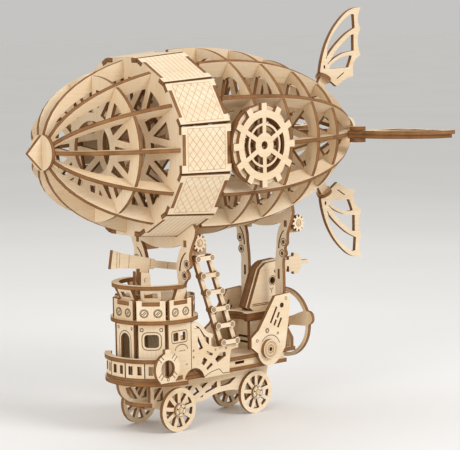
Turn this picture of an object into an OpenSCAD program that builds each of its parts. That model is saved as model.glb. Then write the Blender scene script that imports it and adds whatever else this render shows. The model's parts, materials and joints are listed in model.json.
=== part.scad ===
// Plywood airship model: an open envelope of ribs and ring frames carried over a wheeled car

/* [Plywood] */
// Thickness of every plywood board
ply = 2.5; // [2:0.1:3]
// Play on each side of a slot or tenon
slot_play = 0.1; // [0.05:0.01:0.2]
// Radial running clearance of axles and pins
pin_play = 0.05; // [0.02:0.01:0.1]
// Gap between a turning board and the board beside it
side_play = 0.3; // [0.2:0.05:0.5]

/* [Envelope] */
// Largest outer radius of the ribs
env_r = 58.5; // [48:0.1:71]
// Distance from the band's front edge to the largest radius
env_mid = 55; // [46:0.5:66]
// Length of the outline ahead of the largest radius
env_front = 119; // [99:0.5:143]
// Length of the outline behind the largest radius
env_aft = 138; // [115:0.5:166]
// Radial depth of a rib at mid length
rib_depth = 11; // [9:0.5:13.5]
// Width of the panelled band along the axis
band_w = 30.9; // [25:0.1:37.5]
// Width of the outer rim of a ring frame
rim_w = 8; // [7:0.5:9.6]

/* [Emblem wheel] */
// Radius over the teeth of the side wheel
wheel_tip_r = 25.5; // [21:0.1:30]
// Outer radius of the wheel's rim
wheel_rim_r = 21.3; // [18:0.1:21.5]
// Number of teeth
wheel_teeth = 12; // [8:1:16]

/* [Fins] */
// Distance from the ribs' ends forward to the fin's root
fin_back = 15.3; // [13:0.1:17]
// Height of the fin's root above the rib under it
fin_stand = 14.5; // [12.5:0.1:18]

/* [Saddles] */
// Distance from the band's front edge to the front saddle
front_saddle_x = 27; // [25.5:0.5:28.5]
// Height of the opening under the front saddle
neck_gap = 29.6; // [24.6:0.1:36]
// Depth of the saddle under the band
saddle_depth = 8; // [6.5:0.5:9.5]
// Outer radius of the saddle gears
gear_r = 5.3; // [4.4:0.1:6.3]
// Radius of the gear pins
gear_pin_r = 1.2; // [1:0.1:1.5]

/* [Ladder] */
// Distance between the two ladder rails
ladder_w = 11.5; // [9.5:0.5:14]
// Number of rungs
rung_n = 6; // [4:1:7]

/* [Telescope] */
// Nose-up angle of the telescope at rest
scope_tilt = 10; // [5:1:14]
// Radius of the swivel spigot under the telescope
spigot_r = 2.5; // [2:0.1:3]

/* [Tower] */
// Width of one porthole panel
panel_w = 17.6; // [14.6:0.1:18.2]
// Distance from the centre to the outer faces of the wheelhouse
house_a = 23.6; // [22:0.1:28.4]
// Width of a front or slanted wheelhouse panel
house_w = 16; // [13.5:0.1:17]
// Height of the wheelhouse panels
house_h = 32.1; // [27:0.1:38.5]
// Height of the porthole panels up to the notch
porthole_h = 8.9; // [7.5:0.1:10.7]
// Height of the lookout basket
basket_h = 7.2; // [6:0.1:8.6]

/* [Car] */
// Distance from the band's front edge to the tower's centre
tower_x = 19.3; // [17:0.1:21]
// Gap between the wheels and the lower deck above them
deck_gap = 4.2; // [3.5:0.1:6]
// Width of the open deck between the wheelhouse and the edge of the bow
bow_lip = 6.6; // [6:0.1:8]
// Height of the bow windows
bow_window_h = 9.2; // [7.7:0.1:11]
// Distance from the band's front edge to the front axle
front_axle_x = 21.2; // [18:0.1:24]
// Distance from the band's front edge to the rear axle
rear_axle_x = 92.3; // [88:0.1:96]

/* [Wheels] */
// Radius of the road wheels
wheel_r = 13.64; // [11.3:0.01:16.4]
// Radius of the axles
axle_r = 1.5; // [1.2:0.1:1.8]
// Half of the width over the front wheels
front_track = 19.9; // [18:0.1:23.5]
// Number of spokes
spoke_n = 9; // [6:1:10]

/* [Propeller] */
// Height of the propeller shaft above the lower deck
prop_up = 21.7; // [19.5:0.1:23]
// Outer radius of the propeller ring
prop_r = 23; // [19.5:0.1:24]
// Number of blades
blade_n = 3; // [2:1:4]

/* [Hidden] */
$fn = 64;
wood = [0.93, 0.82, 0.63];
wood_light = [0.97, 0.89, 0.73];
wood_dark = [0.80, 0.62, 0.42];

// The outline is full in the nose and leaner towards the tail
nose_power = 0.44;
tail_power = 0.72;
// Each rib starts and ends at this angle along its half of the outline
rib_a0 = 9;
rib_a1 = 162.35;
rib_n = 12;
rib_pitch = 360 / rib_n;
rib_min_r = 6;
rib_x0 = env_mid - env_front * cos(rib_a0);
rib_x1 = env_mid - env_aft * cos(rib_a1);
tenon_h = 4;

// Ring frames: one in the nose, two under the band, four behind it
aft_len = rib_x1 - band_w;
ring_x = [rib_x0 * 0.413, -ply / 2, band_w + ply / 2, band_w + aft_len * 0.171,
          band_w + aft_len * 0.348, band_w + aft_len * 0.544, band_w + aft_len * 0.722];
ring_lap = [0.5, 0, 0, 0.75, 0.5, 0.5, 0.5];
ring_edge_in = 0.4;
truss_w = 4.2;
hub_ring_w = 5;
arch_rim = 4.8;

// Band panels lie a little proud of the outline in front and a little under it behind
band_a0 = env(0) + 1.2;
band_a1 = env(band_w) - 1.1;
band_tilt = atan((band_a1 - band_a0) / band_w);
band_tab = 3;
band_tab_w = 4.5;

// The emblem wheels sit on ring 4 and the side ribs
emblem_x = ring_x[3];
emblem_seat = env(emblem_x) - 5.5;
backing_r = min(24, emblem_x - ring_x[2] - ply / 2 - 0.1);
backing_hole_r = 17;
backing_t = 2 * ply;

nose_disc_r = 10.6;
nose_len = 10.3;
tail_disc_r = 10.6;
tail_boss_len = 10.5;

fin_lead = [-4.8, 3.072];
fin_tip = [34.9, 45.5];
fin_heel = [11.1, -7.104];
fin_slope = atan2(fin_lead[1] - fin_heel[1], fin_heel[0] - fin_lead[0]);
fin_x = rib_x1 - fin_back;
fin_tenon_w = 7;
collar_r = 5.2;
side_collar_in = 6;
// The upper fin is pushed in a little deeper than the lower one
upper_fin_in = 1.4;
lower_fin_out = 2.8;
// The four fins by their turn about the axis and how far each is moved out
fin_turns = [0, 90, 180, 270];
fin_outs = [-upper_fin_in, 0, lower_fin_out, 0];
// A side fin is two boards thick, and the lower board lies a little nearer to the axis
fin_layers = [1, 2, 1, 2];
lower_board_in = 2.6;

// The whole object is centred between the nose tip and the fin tips
nose_tip_x = rib_x0 - ply - nose_len;
tail_tip_x = max(fin_x + fin_tip[0], rib_x1 + ply + tail_boss_len);
bx = -(nose_tip_x + tail_tip_x) / 2;

// Car levels, each standing on the one below
deck_z = 2 * wheel_r + deck_gap;
deck2_z = deck_z + ply;
floor_z = deck2_z + ply;
rail_z = floor_z + bow_window_h;
tower_floor_z = floor_z + house_h;
porthole_z = tower_floor_z + ply;
crow_z = porthole_z + porthole_h;
crow_top = crow_z + ply;
crow_rail_z = crow_top + basket_h;
tower_a = house_a + 1.1;
bow_r = house_a + bow_lip;
merlon_w = 3.4;
merlon_top = 0.8;
wall_y = house_a - ply;
deck_half = wall_y;
deck_flat = house_a + 2.25;
rail_span = 52;
rail_w = 4;

// The envelope rests on the front saddle, which stands on the lookout floor
saddle_under = band_bottom(front_saddle_x + ply / 2) + slot_play / 2;
axis_z = crow_top + neck_gap + saddle_depth + saddle_under;

// Rear saddle stands against ring 6
rear_saddle_x = ring_x[5] - ply;
rear_floor_z = deck2_z + 4.2;
rear_floor_top = rear_floor_z + ply;
rear_floor_x0 = 63;
rear_floor_x1 = rear_saddle_x + 8;
truss_x1 = 61;
seat_z = deck_z + 28;
seat_top = seat_z + 2 * ply;
beam_y = 10;
beam_front = front_axle_x - 15.7;
rear_track = beam_y + 1.5 * ply + 0.25;
prop_z = deck_z + prop_up;
prop_dx = 19.4;
disc_dx = -19;
disc_z = deck_z + 11.3;

// Saddle gears sit on brackets that pass through the saddle arms
gear_y = wall_y + ply / 2;
front_gear_x = front_saddle_x + ply / 2 + gear_r + side_play + 0.6;
front_gear_z = -(band_bottom(front_saddle_x) + 4);
rear_gear_x = rear_saddle_x + ply / 2 + gear_r + side_play;
rear_gear_z = -(env(rear_saddle_x) + 4);
gear_teeth = 10;
bracket_drop = 7.6;
front_eye_r = 1.6;
rear_eye_r = 1.35;
eye_wall = 1.5;

// Ladder between the front bracket and the top edge of the side truss
ladder_top_z = axis_z + front_gear_z - bracket_drop - 0.1;
ladder_foot_z = deck_z + 18.4;
ladder_foot_x = 53.5;
ladder_top_x = 33.4;
rung_end_r = 2.2;
// The side walls rise from the ladder's foot to just under the tower floor
wall_rise = (tower_floor_z - ladder_foot_z) / 18.7;

// Telescope swivels on the lookout floor ahead of the tower's centre
scope_x = tower_x - 9.6;
scope_pivot_z = crow_top + 11.5;
scope_axis_up = 10.2;
scope_mouth = 26.5;
scope_len = 54.5;
scope_pin_r = 1.2;

// Outline of the envelope: two rounded halves that meet at the largest radius
function env(x) =
    let (ahead = x < env_mid, u = (x - env_mid) / (ahead ? env_front : env_aft))
    env_r * pow(max(0, 1 - u * u), ahead ? nose_power : tail_power);

function depth_at(x) = rib_depth * (0.55 + 0.45 * env(x) / env_r);

// Distance of the band's underside below the axis at a place along it
function band_bottom(x) = band_a0 + (band_a1 - band_a0) * x / band_w;

function rib_angle(x) = x < env_mid ? acos((env_mid - x) / env_front) : acos((env_mid - x) / env_aft);

function rib_x(a) = env_mid - (a < 90 ? env_front : env_aft) * cos(a);

function rib_inner(x) = max(env(x) - depth_at(x), rib_min_r);

// Radius at which a rib and a ring halve into each other
function lap_r(i) = env(ring_x[i]) - ring_lap[i] * depth_at(ring_x[i]);

function bezier(a, b, c, n = 10) =
    [for (i = [0:n]) let (t = i / n) a * (1 - t) * (1 - t) + b * 2 * t * (1 - t) + c * t * t];

// Smooth curve through a row of points
function curve_point(p, i, t) =
    let (a = p[max(i - 1, 0)], b = p[i], c = p[i + 1], d = p[min(i + 2, len(p) - 1)])
    0.5 * (2 * b + (c - a) * t + (2 * a - 5 * b + 4 * c - d) * t * t
           + (3 * b - a - 3 * c + d) * t * t * t);

function spline(p, n = 4) =
    concat([for (i = [0:len(p) - 2]) for (j = [0:n - 1]) curve_point(p, i, j / n)], [p[len(p) - 1]]);

function reversed(p) = [for (i = [len(p) - 1:-1:0]) p[i]];

function mirrored(p) = [for (q = p) [-q[0], q[1]]];

function regular(n, apothem, start) =
    [for (i = [0:n - 1]) apothem / cos(180 / n) * [cos(start + i * 360 / n), sin(start + i * 360 / n)]];

// Boards in the three main planes
module xz_board(y, thick = ply) {
    translate([0, y + thick / 2, 0])
        rotate([90, 0, 0])
            linear_extrude(thick)
                children();
}

module yz_board(x, thick = ply) {
    translate([x - thick / 2, 0, 0])
        rotate([90, 0, 90])
            linear_extrude(thick)
                children();
}

module xy_board(z, thick = ply) {
    translate([0, 0, z])
        linear_extrude(thick)
            children();
}

// Frame on the envelope's axis at the band's front edge, and the one on the ground below it
module on_axis() {
    translate([bx, 0, axis_z])
        children();
}

module on_ground() {
    translate([bx, 0, 0])
        children();
}

module both_sides() {
    for (s = [0, 1])
        mirror([0, s, 0])
            children();
}

module around_axis(angles) {
    for (a = angles)
        rotate([a, 0, 0])
            children();
}

module bar(p, q, w) {
    d = q - p;
    translate(p)
        rotate(atan2(d[1], d[0]))
            translate([0, -w / 2])
                square([norm(d), w]);
}

module annulus(r1, r2) {
    difference() {
        circle(r1);
        circle(r2);
    }
}

module rounded_rect(w, h, r) {
    for (x = [-w / 2 + r, w / 2 - r])
        for (y = [-h / 2 + r, h / 2 - r])
            translate([x, y])
                circle(r);
    square([w, h - 2 * r], center = true);
    square([w - 2 * r, h], center = true);
}

// Area under the outline, from the axis out
module env_area(extra) {
    steps = 30;
    a0 = rib_angle(fin_x - 25);
    outer = [for (i = [0:steps])
                 let (x = rib_x(a0 + (rib_a1 - a0) * i / steps))
                 [x, env(x) + extra]];
    polygon(concat(outer, [[outer[steps][0], 0], [outer[0][0], 0]]));
}

// Ribs
module rib_outline(a0, a1, steps) {
    outer = [for (i = [0:steps]) let (a = a0 + (a1 - a0) * i / steps) [rib_x(a), env(rib_x(a))]];
    inner = [for (p = outer) [p[0], rib_inner(p[0])]];
    polygon(concat(outer, reversed(inner)));
}

module ring_notch(i) {
    low = rib_inner(ring_x[i]) - rib_depth;
    translate([ring_x[i] - ply / 2 - slot_play, low])
        square([ply + 2 * slot_play, lap_r(i) + slot_play / 2 - low]);
}

// Tenon of a rib in a ring beside the band, half way up the rib
function tenon_mid(x) = (env(x) + rib_inner(x)) / 2;

module front_rib_profile() {
    difference() {
        rib_outline(rib_a0, rib_angle(-ply), 9);
        ring_notch(0);
    }
    translate([-ply, tenon_mid(-ply) - tenon_h / 2])
        square([ply, tenon_h]);
}

module aft_rib_profile() {
    x0 = band_w + ply;
    difference() {
        rib_outline(rib_angle(x0), rib_a1, 22);
        for (i = [3:6])
            ring_notch(i);
    }
    translate([band_w, tenon_mid(x0) - tenon_h / 2])
        square([ply, tenon_h]);
}

module front_ribs() {
    color(wood)
        on_axis()
            around_axis([for (k = [0:rib_n - 1]) k * rib_pitch])
                xz_board(0)
                    front_rib_profile();
}

module aft_ribs() {
    // The near and far ribs are flattened where the emblem wheels sit
    flat_half = backing_r + 0.6;
    color(wood)
        on_axis()
            for (k = [0:rib_n - 1])
                rotate([k * rib_pitch, 0, 0])
                    xz_board(0)
                        difference() {
                            aft_rib_profile();
                            if (k % 6 == 3)
                                translate([emblem_x - flat_half, emblem_seat])
                                    square([2 * flat_half, rib_depth]);
                        }
}

// Ring frames
module truss_web(outer_r, inner_r, web_reach = 0.36) {
    foot = inner_r - hub_ring_w / 2;
    head = outer_r + 1;
    annulus(inner_r, inner_r - hub_ring_w);
    for (k = [0:rib_n - 1])
        for (s = [-1, 1]) {
            a = (k + 0.5) * rib_pitch;
            b = a + s * web_reach * rib_pitch;
            bar(foot * [cos(a), sin(a)], head * [cos(b), sin(b)], truss_w);
        }
}

module rib_slots(i) {
    for (k = [0:rib_n - 1])
        rotate(k * rib_pitch)
            translate([lap_r(i) - slot_play / 2, -ply / 2 - slot_play])
                square([rib_depth, ply + 2 * slot_play]);
}

// Between two ribs the rim is hollowed to an arch; beside the emblem it stays whole
module rim_arches(r, rim_in, whole) {
    half = rim_in * sin(0.5 * rib_pitch) - 0.95 * truss_w;
    depth = r - rim_in - arch_rim;
    for (k = [0:rib_n - 1]) {
        a = (k + 0.5) * rib_pitch;
        if (!whole || abs(sin(a)) > 0.3)
            rotate(a)
                polygon(concat([[rim_in - 1, -half]],
                               [for (t = [-90:15:90]) [rim_in + depth * cos(t), half * sin(t)]],
                               [[rim_in - 1, half]]));
    }
}

// A round ring frame that the ribs lap into, with a zigzag web and a hub ring
module round_ring(i) {
    r = min(env(ring_x[i] - ply / 2), env(ring_x[i] + ply / 2)) - ring_edge_in;
    rim_in = r - rim_w - (i == 3 ? 3 : 0);
    color(wood_light)
        on_axis()
            yz_board(ring_x[i])
                difference() {
                    union() {
                        annulus(r, rim_in);
                        truss_web(rim_in, r * 0.5, i >= 3 ? 0.5 : 0.36);
                    }
                    rib_slots(i);
                    if (i >= 3)
                        rim_arches(r, rim_in, i == 3);
                    if (i == 3)
                        for (s = [-1, 1])
                            translate([s * (emblem_seat + 10), 0])
                                square([20, 3 * backing_r], center = true);
                }
}

function band_half(a) = (a - ply) * tan(rib_pitch / 2) - 0.2;

// A band ring: its flats show between the panels' corner tabs, the ribs' tenons go through it
module band_ring(i, a, rib_side_x) {
    under = a - ply - 0.6;
    flat_half = band_half(a) - band_tab_w - slot_play;
    color(wood_light)
        on_axis()
            yz_board(ring_x[i])
                difference() {
                    union() {
                        difference() {
                            polygon(regular(rib_n, under, rib_pitch / 2));
                            circle(under - rim_w);
                        }
                        for (k = [0:rib_n - 1])
                            rotate(k * rib_pitch)
                                translate([under - 1, -flat_half])
                                    square([a - under + 1, 2 * flat_half]);
                        truss_web(under - rim_w, under * 0.5);
                    }
                    for (k = [0:rib_n - 1])
                        rotate(k * rib_pitch)
                            translate([tenon_mid(rib_side_x), 0])
                                square([tenon_h + 2 * slot_play, ply + 2 * slot_play], center = true);
                }
}

module ring_1() { round_ring(0); }
module ring_2() { band_ring(1, band_a0, -ply); }
module ring_3() { band_ring(2, band_a1, band_w + ply); }
module ring_4() { round_ring(3); }
module ring_5() { round_ring(4); }
module ring_6() { round_ring(5); }
module ring_7() { round_ring(6); }

// Twelve flat panels that hook over the two band rings with their corner tabs
module band_panels() {
    slope_len = band_w / cos(band_tilt) - ply * tan(band_tilt) - 0.05;
    h0 = band_half(band_a0);
    h1 = band_half(band_a1);
    half = [[0, h0 - band_tab_w], [-band_tab, h0 - band_tab_w], [-band_tab, h0],
            [slope_len + band_tab, h1], [slope_len + band_tab, h1 - band_tab_w],
            [slope_len, h1 - band_tab_w]];
    other = [for (p = reversed(half)) [p[0], -p[1]]];
    color(wood_light)
        on_axis()
            around_axis([for (k = [0:rib_n - 1]) k * rib_pitch])
                translate([0, 0, band_a0])
                    rotate([0, -band_tilt, 0])
                        translate([0, 0, -ply])
                            linear_extrude(ply)
                                polygon(concat(half, other));
}

// Nose and tail
module nose_cap() {
    color(wood_light)
        on_axis() {
            yz_board(rib_x0 - ply / 2)
                circle(nose_disc_r);
            xz_board(0)
                polygon([[rib_x0 - ply, nose_disc_r - 0.3], [rib_x0 - ply - nose_len, 0],
                         [rib_x0 - ply, 0.3 - nose_disc_r]]);
        }
}

module tail_cap() {
    boss_h = 9;
    color(wood_light)
        on_axis() {
            yz_board(rib_x1 + ply / 2)
                circle(tail_disc_r);
            xz_board(0)
                translate([rib_x1 + ply, 0])
                    difference() {
                        polygon(spline([[0, boss_h], [6, boss_h], [9.5, boss_h - 2],
                                        [tail_boss_len, boss_h - 5],
                                        [tail_boss_len, 5 - boss_h], [9.5, 2 - boss_h], [6, -boss_h],
                                        [0, -boss_h]]));
                        translate([5, -ply / 2 - slot_play])
                            square([tail_boss_len, ply + 2 * slot_play]);
                    }
        }
}

// Emblem wheels on both sides: a thick backing ring and a toothed wheel with a plain spoked hub
module emblem_backings() {
    color(wood)
        on_axis()
            both_sides()
                xz_board(-emblem_seat - backing_t / 2, backing_t)
                    translate([emblem_x, 0])
                        annulus(backing_r, backing_hole_r);
}

module emblem_wheels() {
    tooth_w = 4.2;
    rim_in = wheel_rim_r - 4.5;
    hub_r = 7.5;
    hub_hole_r = 2.5;
    inner_ring_r = 13.4;
    spoke_w = 3;
    color(wood_light)
        on_axis()
            both_sides()
                xz_board(-emblem_seat - backing_t - ply / 2)
                    translate([emblem_x, 0]) {
                        annulus(wheel_rim_r, rim_in);
                        for (k = [0:wheel_teeth - 1])
                            rotate(k * 360 / wheel_teeth)
                                translate([wheel_rim_r - 1, -tooth_w / 2])
                                    square([wheel_tip_r - wheel_rim_r + 1, tooth_w]);
                        for (k = [0:5])
                            rotate(30 + k * 60)
                                translate([hub_r - 1, -spoke_w / 2])
                                    square([rim_in - hub_r + 2, spoke_w]);
                        annulus(hub_r, hub_hole_r);
                        annulus(inner_ring_r, inner_ring_r - 1.4);
                    }
}

// Bat-wing fin: curved leading edge, scalloped trailing edge, three windows between fanned ribs
module fin_windows() {
    polygon(concat(spline([[0.9, 11.7], [2.2, 15.2], [2.3, 19.1], [7.5, 27.6], [17.1, 36.4], [25.1, 40.9]]),
                   [[28.1, 40.8]],
                   spline([[28.9, 31.8], [20, 27.7], [10, 20.6], [3, 14.1], [1.4, 11.5]])));
    polygon(concat(spline([[2.3, 8.2], [4.8, 10.2], [7, 12.4], [8.3, 14.6], [15.3, 20.5], [24.9, 27]]),
                   [[27.8, 27.4], [27.8, 16.5]],
                   spline([[23.9, 16], [17.9, 15.1], [13, 13.5], [8.6, 11.6], [5.2, 9.7], [2.7, 7.9]])));
    polygon(concat(spline([[4.2, 5.9], [6, 7.7], [13, 11.4], [20.7, 13.2], [25.9, 13.1]]),
                   [[24.5, 9.6], [22.3, 5.3], [12.1, 5], [4.7, 4.8]]));
    translate([-0.6, 6.2])
        rounded_rect(1.5, 2.3, 0.6);
    translate([14.6, 0])
        rotate(30)
            rounded_rect(8, 0.7, 0.3);
}

// Outline in distance along the axis and from the fin's root
module fin_outline() {
    tips = [fin_tip, [34.5, 31.3], [34.4, 13.2], [27.5, -0.7], fin_heel];
    dips = [[29.2, 37], [29.1, 23.5], [24.8, 10.2], [18.7, -1.6]];
    trailing = [for (i = [0:3]) for (p = bezier(tips[i], dips[i], tips[i + 1], 6)) p];
    front = spline([fin_lead, [-3, 10.9], [1.2, 21.4], [8.8, 32.2], [19.2, 41.2], [27.5, 44.8], fin_tip]);
    difference() {
        polygon(concat(front, trailing));
        fin_windows();
    }
}

// Fin with its tenon, moved out by a given amount; its root stays on the collar where it is drawn further in
module fin_profile(out, drawn_in) {
    reach = fin_stand + out + 6;
    difference() {
        translate([fin_x, env(fin_x) + fin_stand + out]) {
            difference() {
                translate([0, -drawn_in])
                    fin_outline();
                rotate(-fin_slope)
                    translate([-reach, -reach])
                        square([2 * reach, reach]);
            }
            rotate(-fin_slope)
                translate([-fin_tenon_w / 2, -reach])
                    square([fin_tenon_w, reach + 0.5]);
        }
        env_area(slot_play / 2);
    }
}

// The side fins are turned opposite ways, so the lower board is the first of one and the second of the other
module fin(i) {
    lower = i == 1 ? 1 : 2;
    on_axis()
        rotate([fin_turns[i], 0, 0])
            for (k = [1:fin_layers[i]])
                xz_board((2 * k - 1 - fin_layers[i]) * (ply + slot_play / 2) / 2)
                    fin_profile(fin_outs[i], k == lower ? lower_board_in : 0);
}

module vertical_fins() {
    color(wood_light)
        for (i = [0, 2])
            fin(i);
}

module side_fins() {
    color(wood_light)
        for (i = [1, 3])
            fin(i);
}

module at_fin_root(i) {
    on_axis()
        rotate([fin_turns[i], 0, 0])
            translate([fin_x, 0, env(fin_x) + fin_stand + fin_outs[i]])
                rotate([0, fin_slope, 0])
                    children();
}

// An upright fin stands on a slotted disc; a side fin has a disc above and one below its tenon
module fin_collars() {
    color(wood_dark) {
        for (i = [0, 2])
            at_fin_root(i)
                translate([0, 0, -ply])
                    linear_extrude(ply)
                        difference() {
                            circle(collar_r);
                            square([fin_tenon_w + 2 * slot_play, ply + 2 * slot_play], center = true);
                        }
        for (i = [1, 3])
            for (side = [-1, 1])
                at_fin_root(i)
                    translate([0, 0, -side_collar_in])
                        xz_board(side * (1.5 * ply + slot_play / 4))
                            circle(collar_r);
    }
}

// Saddles: a crescent under the envelope and two waved legs with eyes
module leg_slit(start, bend, end, w) {
    side = [w, 0];
    polygon(concat(bezier(start, bend, end),
                   reversed(bezier(start + side, bend + side, end + side))));
}

module leg_eyes(eyes, r) {
    for (e = eyes)
        for (s = [-1, 1])
            translate([s * e[0], e[1]])
                circle(r);
}

module tenon_slot(z) {
    for (s = [-1, 1])
        translate([s * gear_y, z])
            square([ply + 2 * slot_play, tenon_h + 2 * slot_play], center = true);
}

module front_saddle() {
    under = saddle_under;
    corner = under * tan(rib_pitch / 2);
    low = -under - saddle_depth;
    foot = crow_top - axis_z;
    drop = low - foot;
    arm = 17;
    outer = spline([[32, low + 13.4], [31.2, low + 9.4], [28.2, low + 3.4], [26, low - 0.08 * drop],
                    [26, low - 0.27 * drop], [23.4, low - 0.4 * drop], [23.4, low - 0.5 * drop],
                    [22.8, low - 0.6 * drop], [20.6, low - 0.74 * drop], [20.8, foot]]);
    inner = spline([[15.6, foot], [15.6, low - 0.74 * drop], [14.6, low - 0.48 * drop],
                    [14.6, low - 0.27 * drop], [17, low - 0.04 * drop], [19.6, low + 3.2]]);
    lower = spline([[17, low + 2.7], [8, low + 0.5], [0, low]]);
    half = concat([[0, -under], [corner, -under], [corner + arm * cos(30), arm * sin(30) - under]],
                  outer, inner, lower);
    eyes = [[23.7, low - 0.28 * drop], [21.7, low - 0.52 * drop]];
    color(wood)
        on_axis()
            difference() {
                union() {
                    yz_board(front_saddle_x)
                        polygon(concat(half, reversed(mirrored(half))));
                    yz_board(front_saddle_x)
                        leg_eyes(eyes, front_eye_r + eye_wall);
                }
                yz_board(front_saddle_x, 2 * ply) {
                    tenon_slot(front_gear_z);
                    leg_eyes(eyes, front_eye_r);
                    for (s = [0, 1])
                        mirror([s, 0])
                            leg_slit([22.4, low - 0.04 * drop], [17, low - 0.18 * drop],
                                     [16.6, low - 0.44 * drop], 1.2);
                }
            }
}

module rear_saddle() {
    r = env(rear_saddle_x - ply / 2) + slot_play / 2;
    foot = rear_floor_top - axis_z;
    arm = 33;
    arc = [for (a = [0:arm / 8:arm]) r * [sin(a), -cos(a)]];
    outer = spline([[28.6, 3.6 - r], [26.5, -2.4 - r], [23.5, -9.4 - r], [23, -15.6 - r], [21, -19.4 - r],
                    [21.6, -23.1 - r], [19.4, -27.8 - r], [19.5, -38 - r]]);
    inner = spline([[12.6, -38 - r], [13, -26.4 - r], [14, -18.4 - r], [14.5, -12.4 - r], [16.5, -6.4 - r],
                    [18.4, -3.8 - r]]);
    lower = spline([[14.5, -3.9 - r], [8, -5.7 - r], [0, -6.4 - r]]);
    half = concat(arc, outer, [[19.8, foot], [12.6, foot]], inner, lower);
    eyes = [[20.4, -15.6 - r], [19.2, -23.1 - r]];
    color(wood)
        on_axis()
            difference() {
                union() {
                    yz_board(rear_saddle_x)
                        polygon(concat(half, reversed(mirrored(half))));
                    yz_board(rear_saddle_x)
                        leg_eyes(eyes, rear_eye_r + eye_wall);
                }
                yz_board(rear_saddle_x, 2 * ply) {
                    tenon_slot(rear_gear_z);
                    leg_eyes(eyes, rear_eye_r);
                    for (s = [0, 1])
                        mirror([s, 0]) {
                            leg_slit([20.2, -8 - r], [15.5, -13 - r], [15.6, -20 - r], 1.1);
                            leg_slit([15, -33.4 - r], [14.6, -36.6 - r], [15, -39.8 - r], 1.9);
                        }
                }
            }
}

// Brackets through the saddle arms, and the gears that turn on their pins
module bracket_profile(saddle_x, gear_x, gear_z, reach, drop) {
    front = saddle_x + ply / 2;
    difference() {
        union() {
            polygon([[front, gear_z - drop], [front + reach, gear_z - drop], [front + reach, gear_z],
                     [front + reach - 3, gear_z + 5], [front, gear_z + 5]]);
            translate([saddle_x - ply / 2, gear_z - tenon_h / 2])
                square([ply, tenon_h]);
        }
        translate([gear_x, gear_z])
            circle(gear_pin_r + 0.02);
    }
}

module gear_brackets() {
    color(wood)
        on_axis()
            both_sides()
                xz_board(-gear_y) {
                    bracket_profile(front_saddle_x, front_gear_x, front_gear_z, gear_r + 8.5, bracket_drop);
                    bracket_profile(rear_saddle_x, rear_gear_x, rear_gear_z, gear_r + 4, 6);
                }
}

module gear_pins() {
    color(wood_dark)
        on_axis()
            both_sides()
                for (g = [[front_gear_x, front_gear_z], [rear_gear_x, rear_gear_z]])
                    xz_board(-wall_y - ply - side_play / 2 - 0.4, 2 * ply + side_play + 0.8)
                        translate(g)
                            circle(gear_pin_r);
}

module gear(x, z, side) {
    root_r = gear_r * 0.73;
    tooth_w = gear_r * 0.28;
    color(wood_light)
        on_axis()
            mirror([0, side, 0])
                xz_board(-wall_y - 1.5 * ply - side_play)
                    translate([x, z])
                        difference() {
                            union() {
                                circle(root_r);
                                for (k = [0:gear_teeth - 1])
                                    rotate(k * 360 / gear_teeth)
                                        translate([root_r - 1, -tooth_w / 2])
                                            square([gear_r - root_r + 1, tooth_w]);
                            }
                            circle(gear_pin_r + pin_play);
                        }
}

module gear_front_near() { gear(front_gear_x, front_gear_z, 0); }
module gear_front_far() { gear(front_gear_x, front_gear_z, 1); }
module gear_rear_near() { gear(rear_gear_x, rear_gear_z, 0); }
module gear_rear_far() { gear(rear_gear_x, rear_gear_z, 1); }

// Ladder on the near side: two rails with a boss at each rung, and the rungs over them
function rung_at(i) =
    let (t = i / (rung_n - 1), top = ladder_top_z - rung_end_r, foot = ladder_foot_z + rung_end_r)
    [ladder_top_x + (ladder_foot_x - ladder_top_x) * t, top + (foot - top) * t];

module ladder_rails() {
    rail_bar_w = 3;
    color(wood)
        on_ground()
            xz_board(-gear_y)
                for (dx = [0, ladder_w])
                    translate([dx, 0]) {
                        bar(rung_at(0), rung_at(rung_n - 1), rail_bar_w);
                        for (i = [0:rung_n - 1])
                            translate(rung_at(i))
                                circle(rung_end_r);
                    }
}

module ladder_rungs() {
    rung_w = 2.8;
    color(wood_light)
        on_ground()
            xz_board(-gear_y - ply)
                for (i = [0:rung_n - 1])
                    translate(rung_at(i)) {
                        translate([0, -rung_w / 2])
                            square([ladder_w, rung_w]);
                        for (dx = [0, ladder_w])
                            translate([dx, 0])
                                circle(rung_end_r);
                    }
}

// Telescope board on a forked post that swivels in the lookout floor
module scope_profile() {
    points = [[0, 5.8], [3.2, 5.2], [7, 4.6], [33.5, 3.2], [35, 2.2], [scope_len, 2.2]];
    translate([-scope_mouth, scope_axis_up])
        polygon(concat(points, reversed([for (p = points) [p[0], -p[1]]])));
}

module telescope() {
    tang_w = 7;
    color(wood_light)
        on_ground()
            translate([scope_x, 0, scope_pivot_z])
                rotate([0, scope_tilt, 0]) {
                    xz_board(0)
                        difference() {
                            union() {
                                scope_profile();
                                circle(tang_w / 2);
                                translate([-tang_w / 2, 0])
                                    square([tang_w, scope_axis_up]);
                            }
                            circle(scope_pin_r + 0.02);
                        }
                    xz_board(0, 3 * ply + 1.2)
                        circle(scope_pin_r);
                }
}

module telescope_post() {
    base_r = 6.5;
    base_gap = 0.15;
    cheek_y = ply + side_play / 2;
    cheek_w = 8.4;
    base_top = crow_top + base_gap + ply;
    color(wood)
        on_ground()
            translate([scope_x, 0, 0]) {
                xy_board(crow_top + base_gap)
                    circle(base_r);
                xy_board(crow_z, crow_top + base_gap - crow_z)
                    circle(spigot_r);
                both_sides()
                    xz_board(-cheek_y)
                        difference() {
                            polygon([[-cheek_w / 2, base_top], [cheek_w / 2, base_top],
                                     [3.6, scope_pivot_z + 3.9], [-3.6, scope_pivot_z + 5.2]]);
                            translate([0, scope_pivot_z])
                                circle(scope_pin_r + pin_play);
                            translate([-0.7, base_top + 1.2])
                                square([1.4, 4]);
                        }
            }
}

// Lookout basket on top of the tower, open towards the saddle
module front_half(reach) {
    intersection() {
        children();
        translate([tower_x - 60 + reach, -60])
            square([60, 120]);
    }
}

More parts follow.
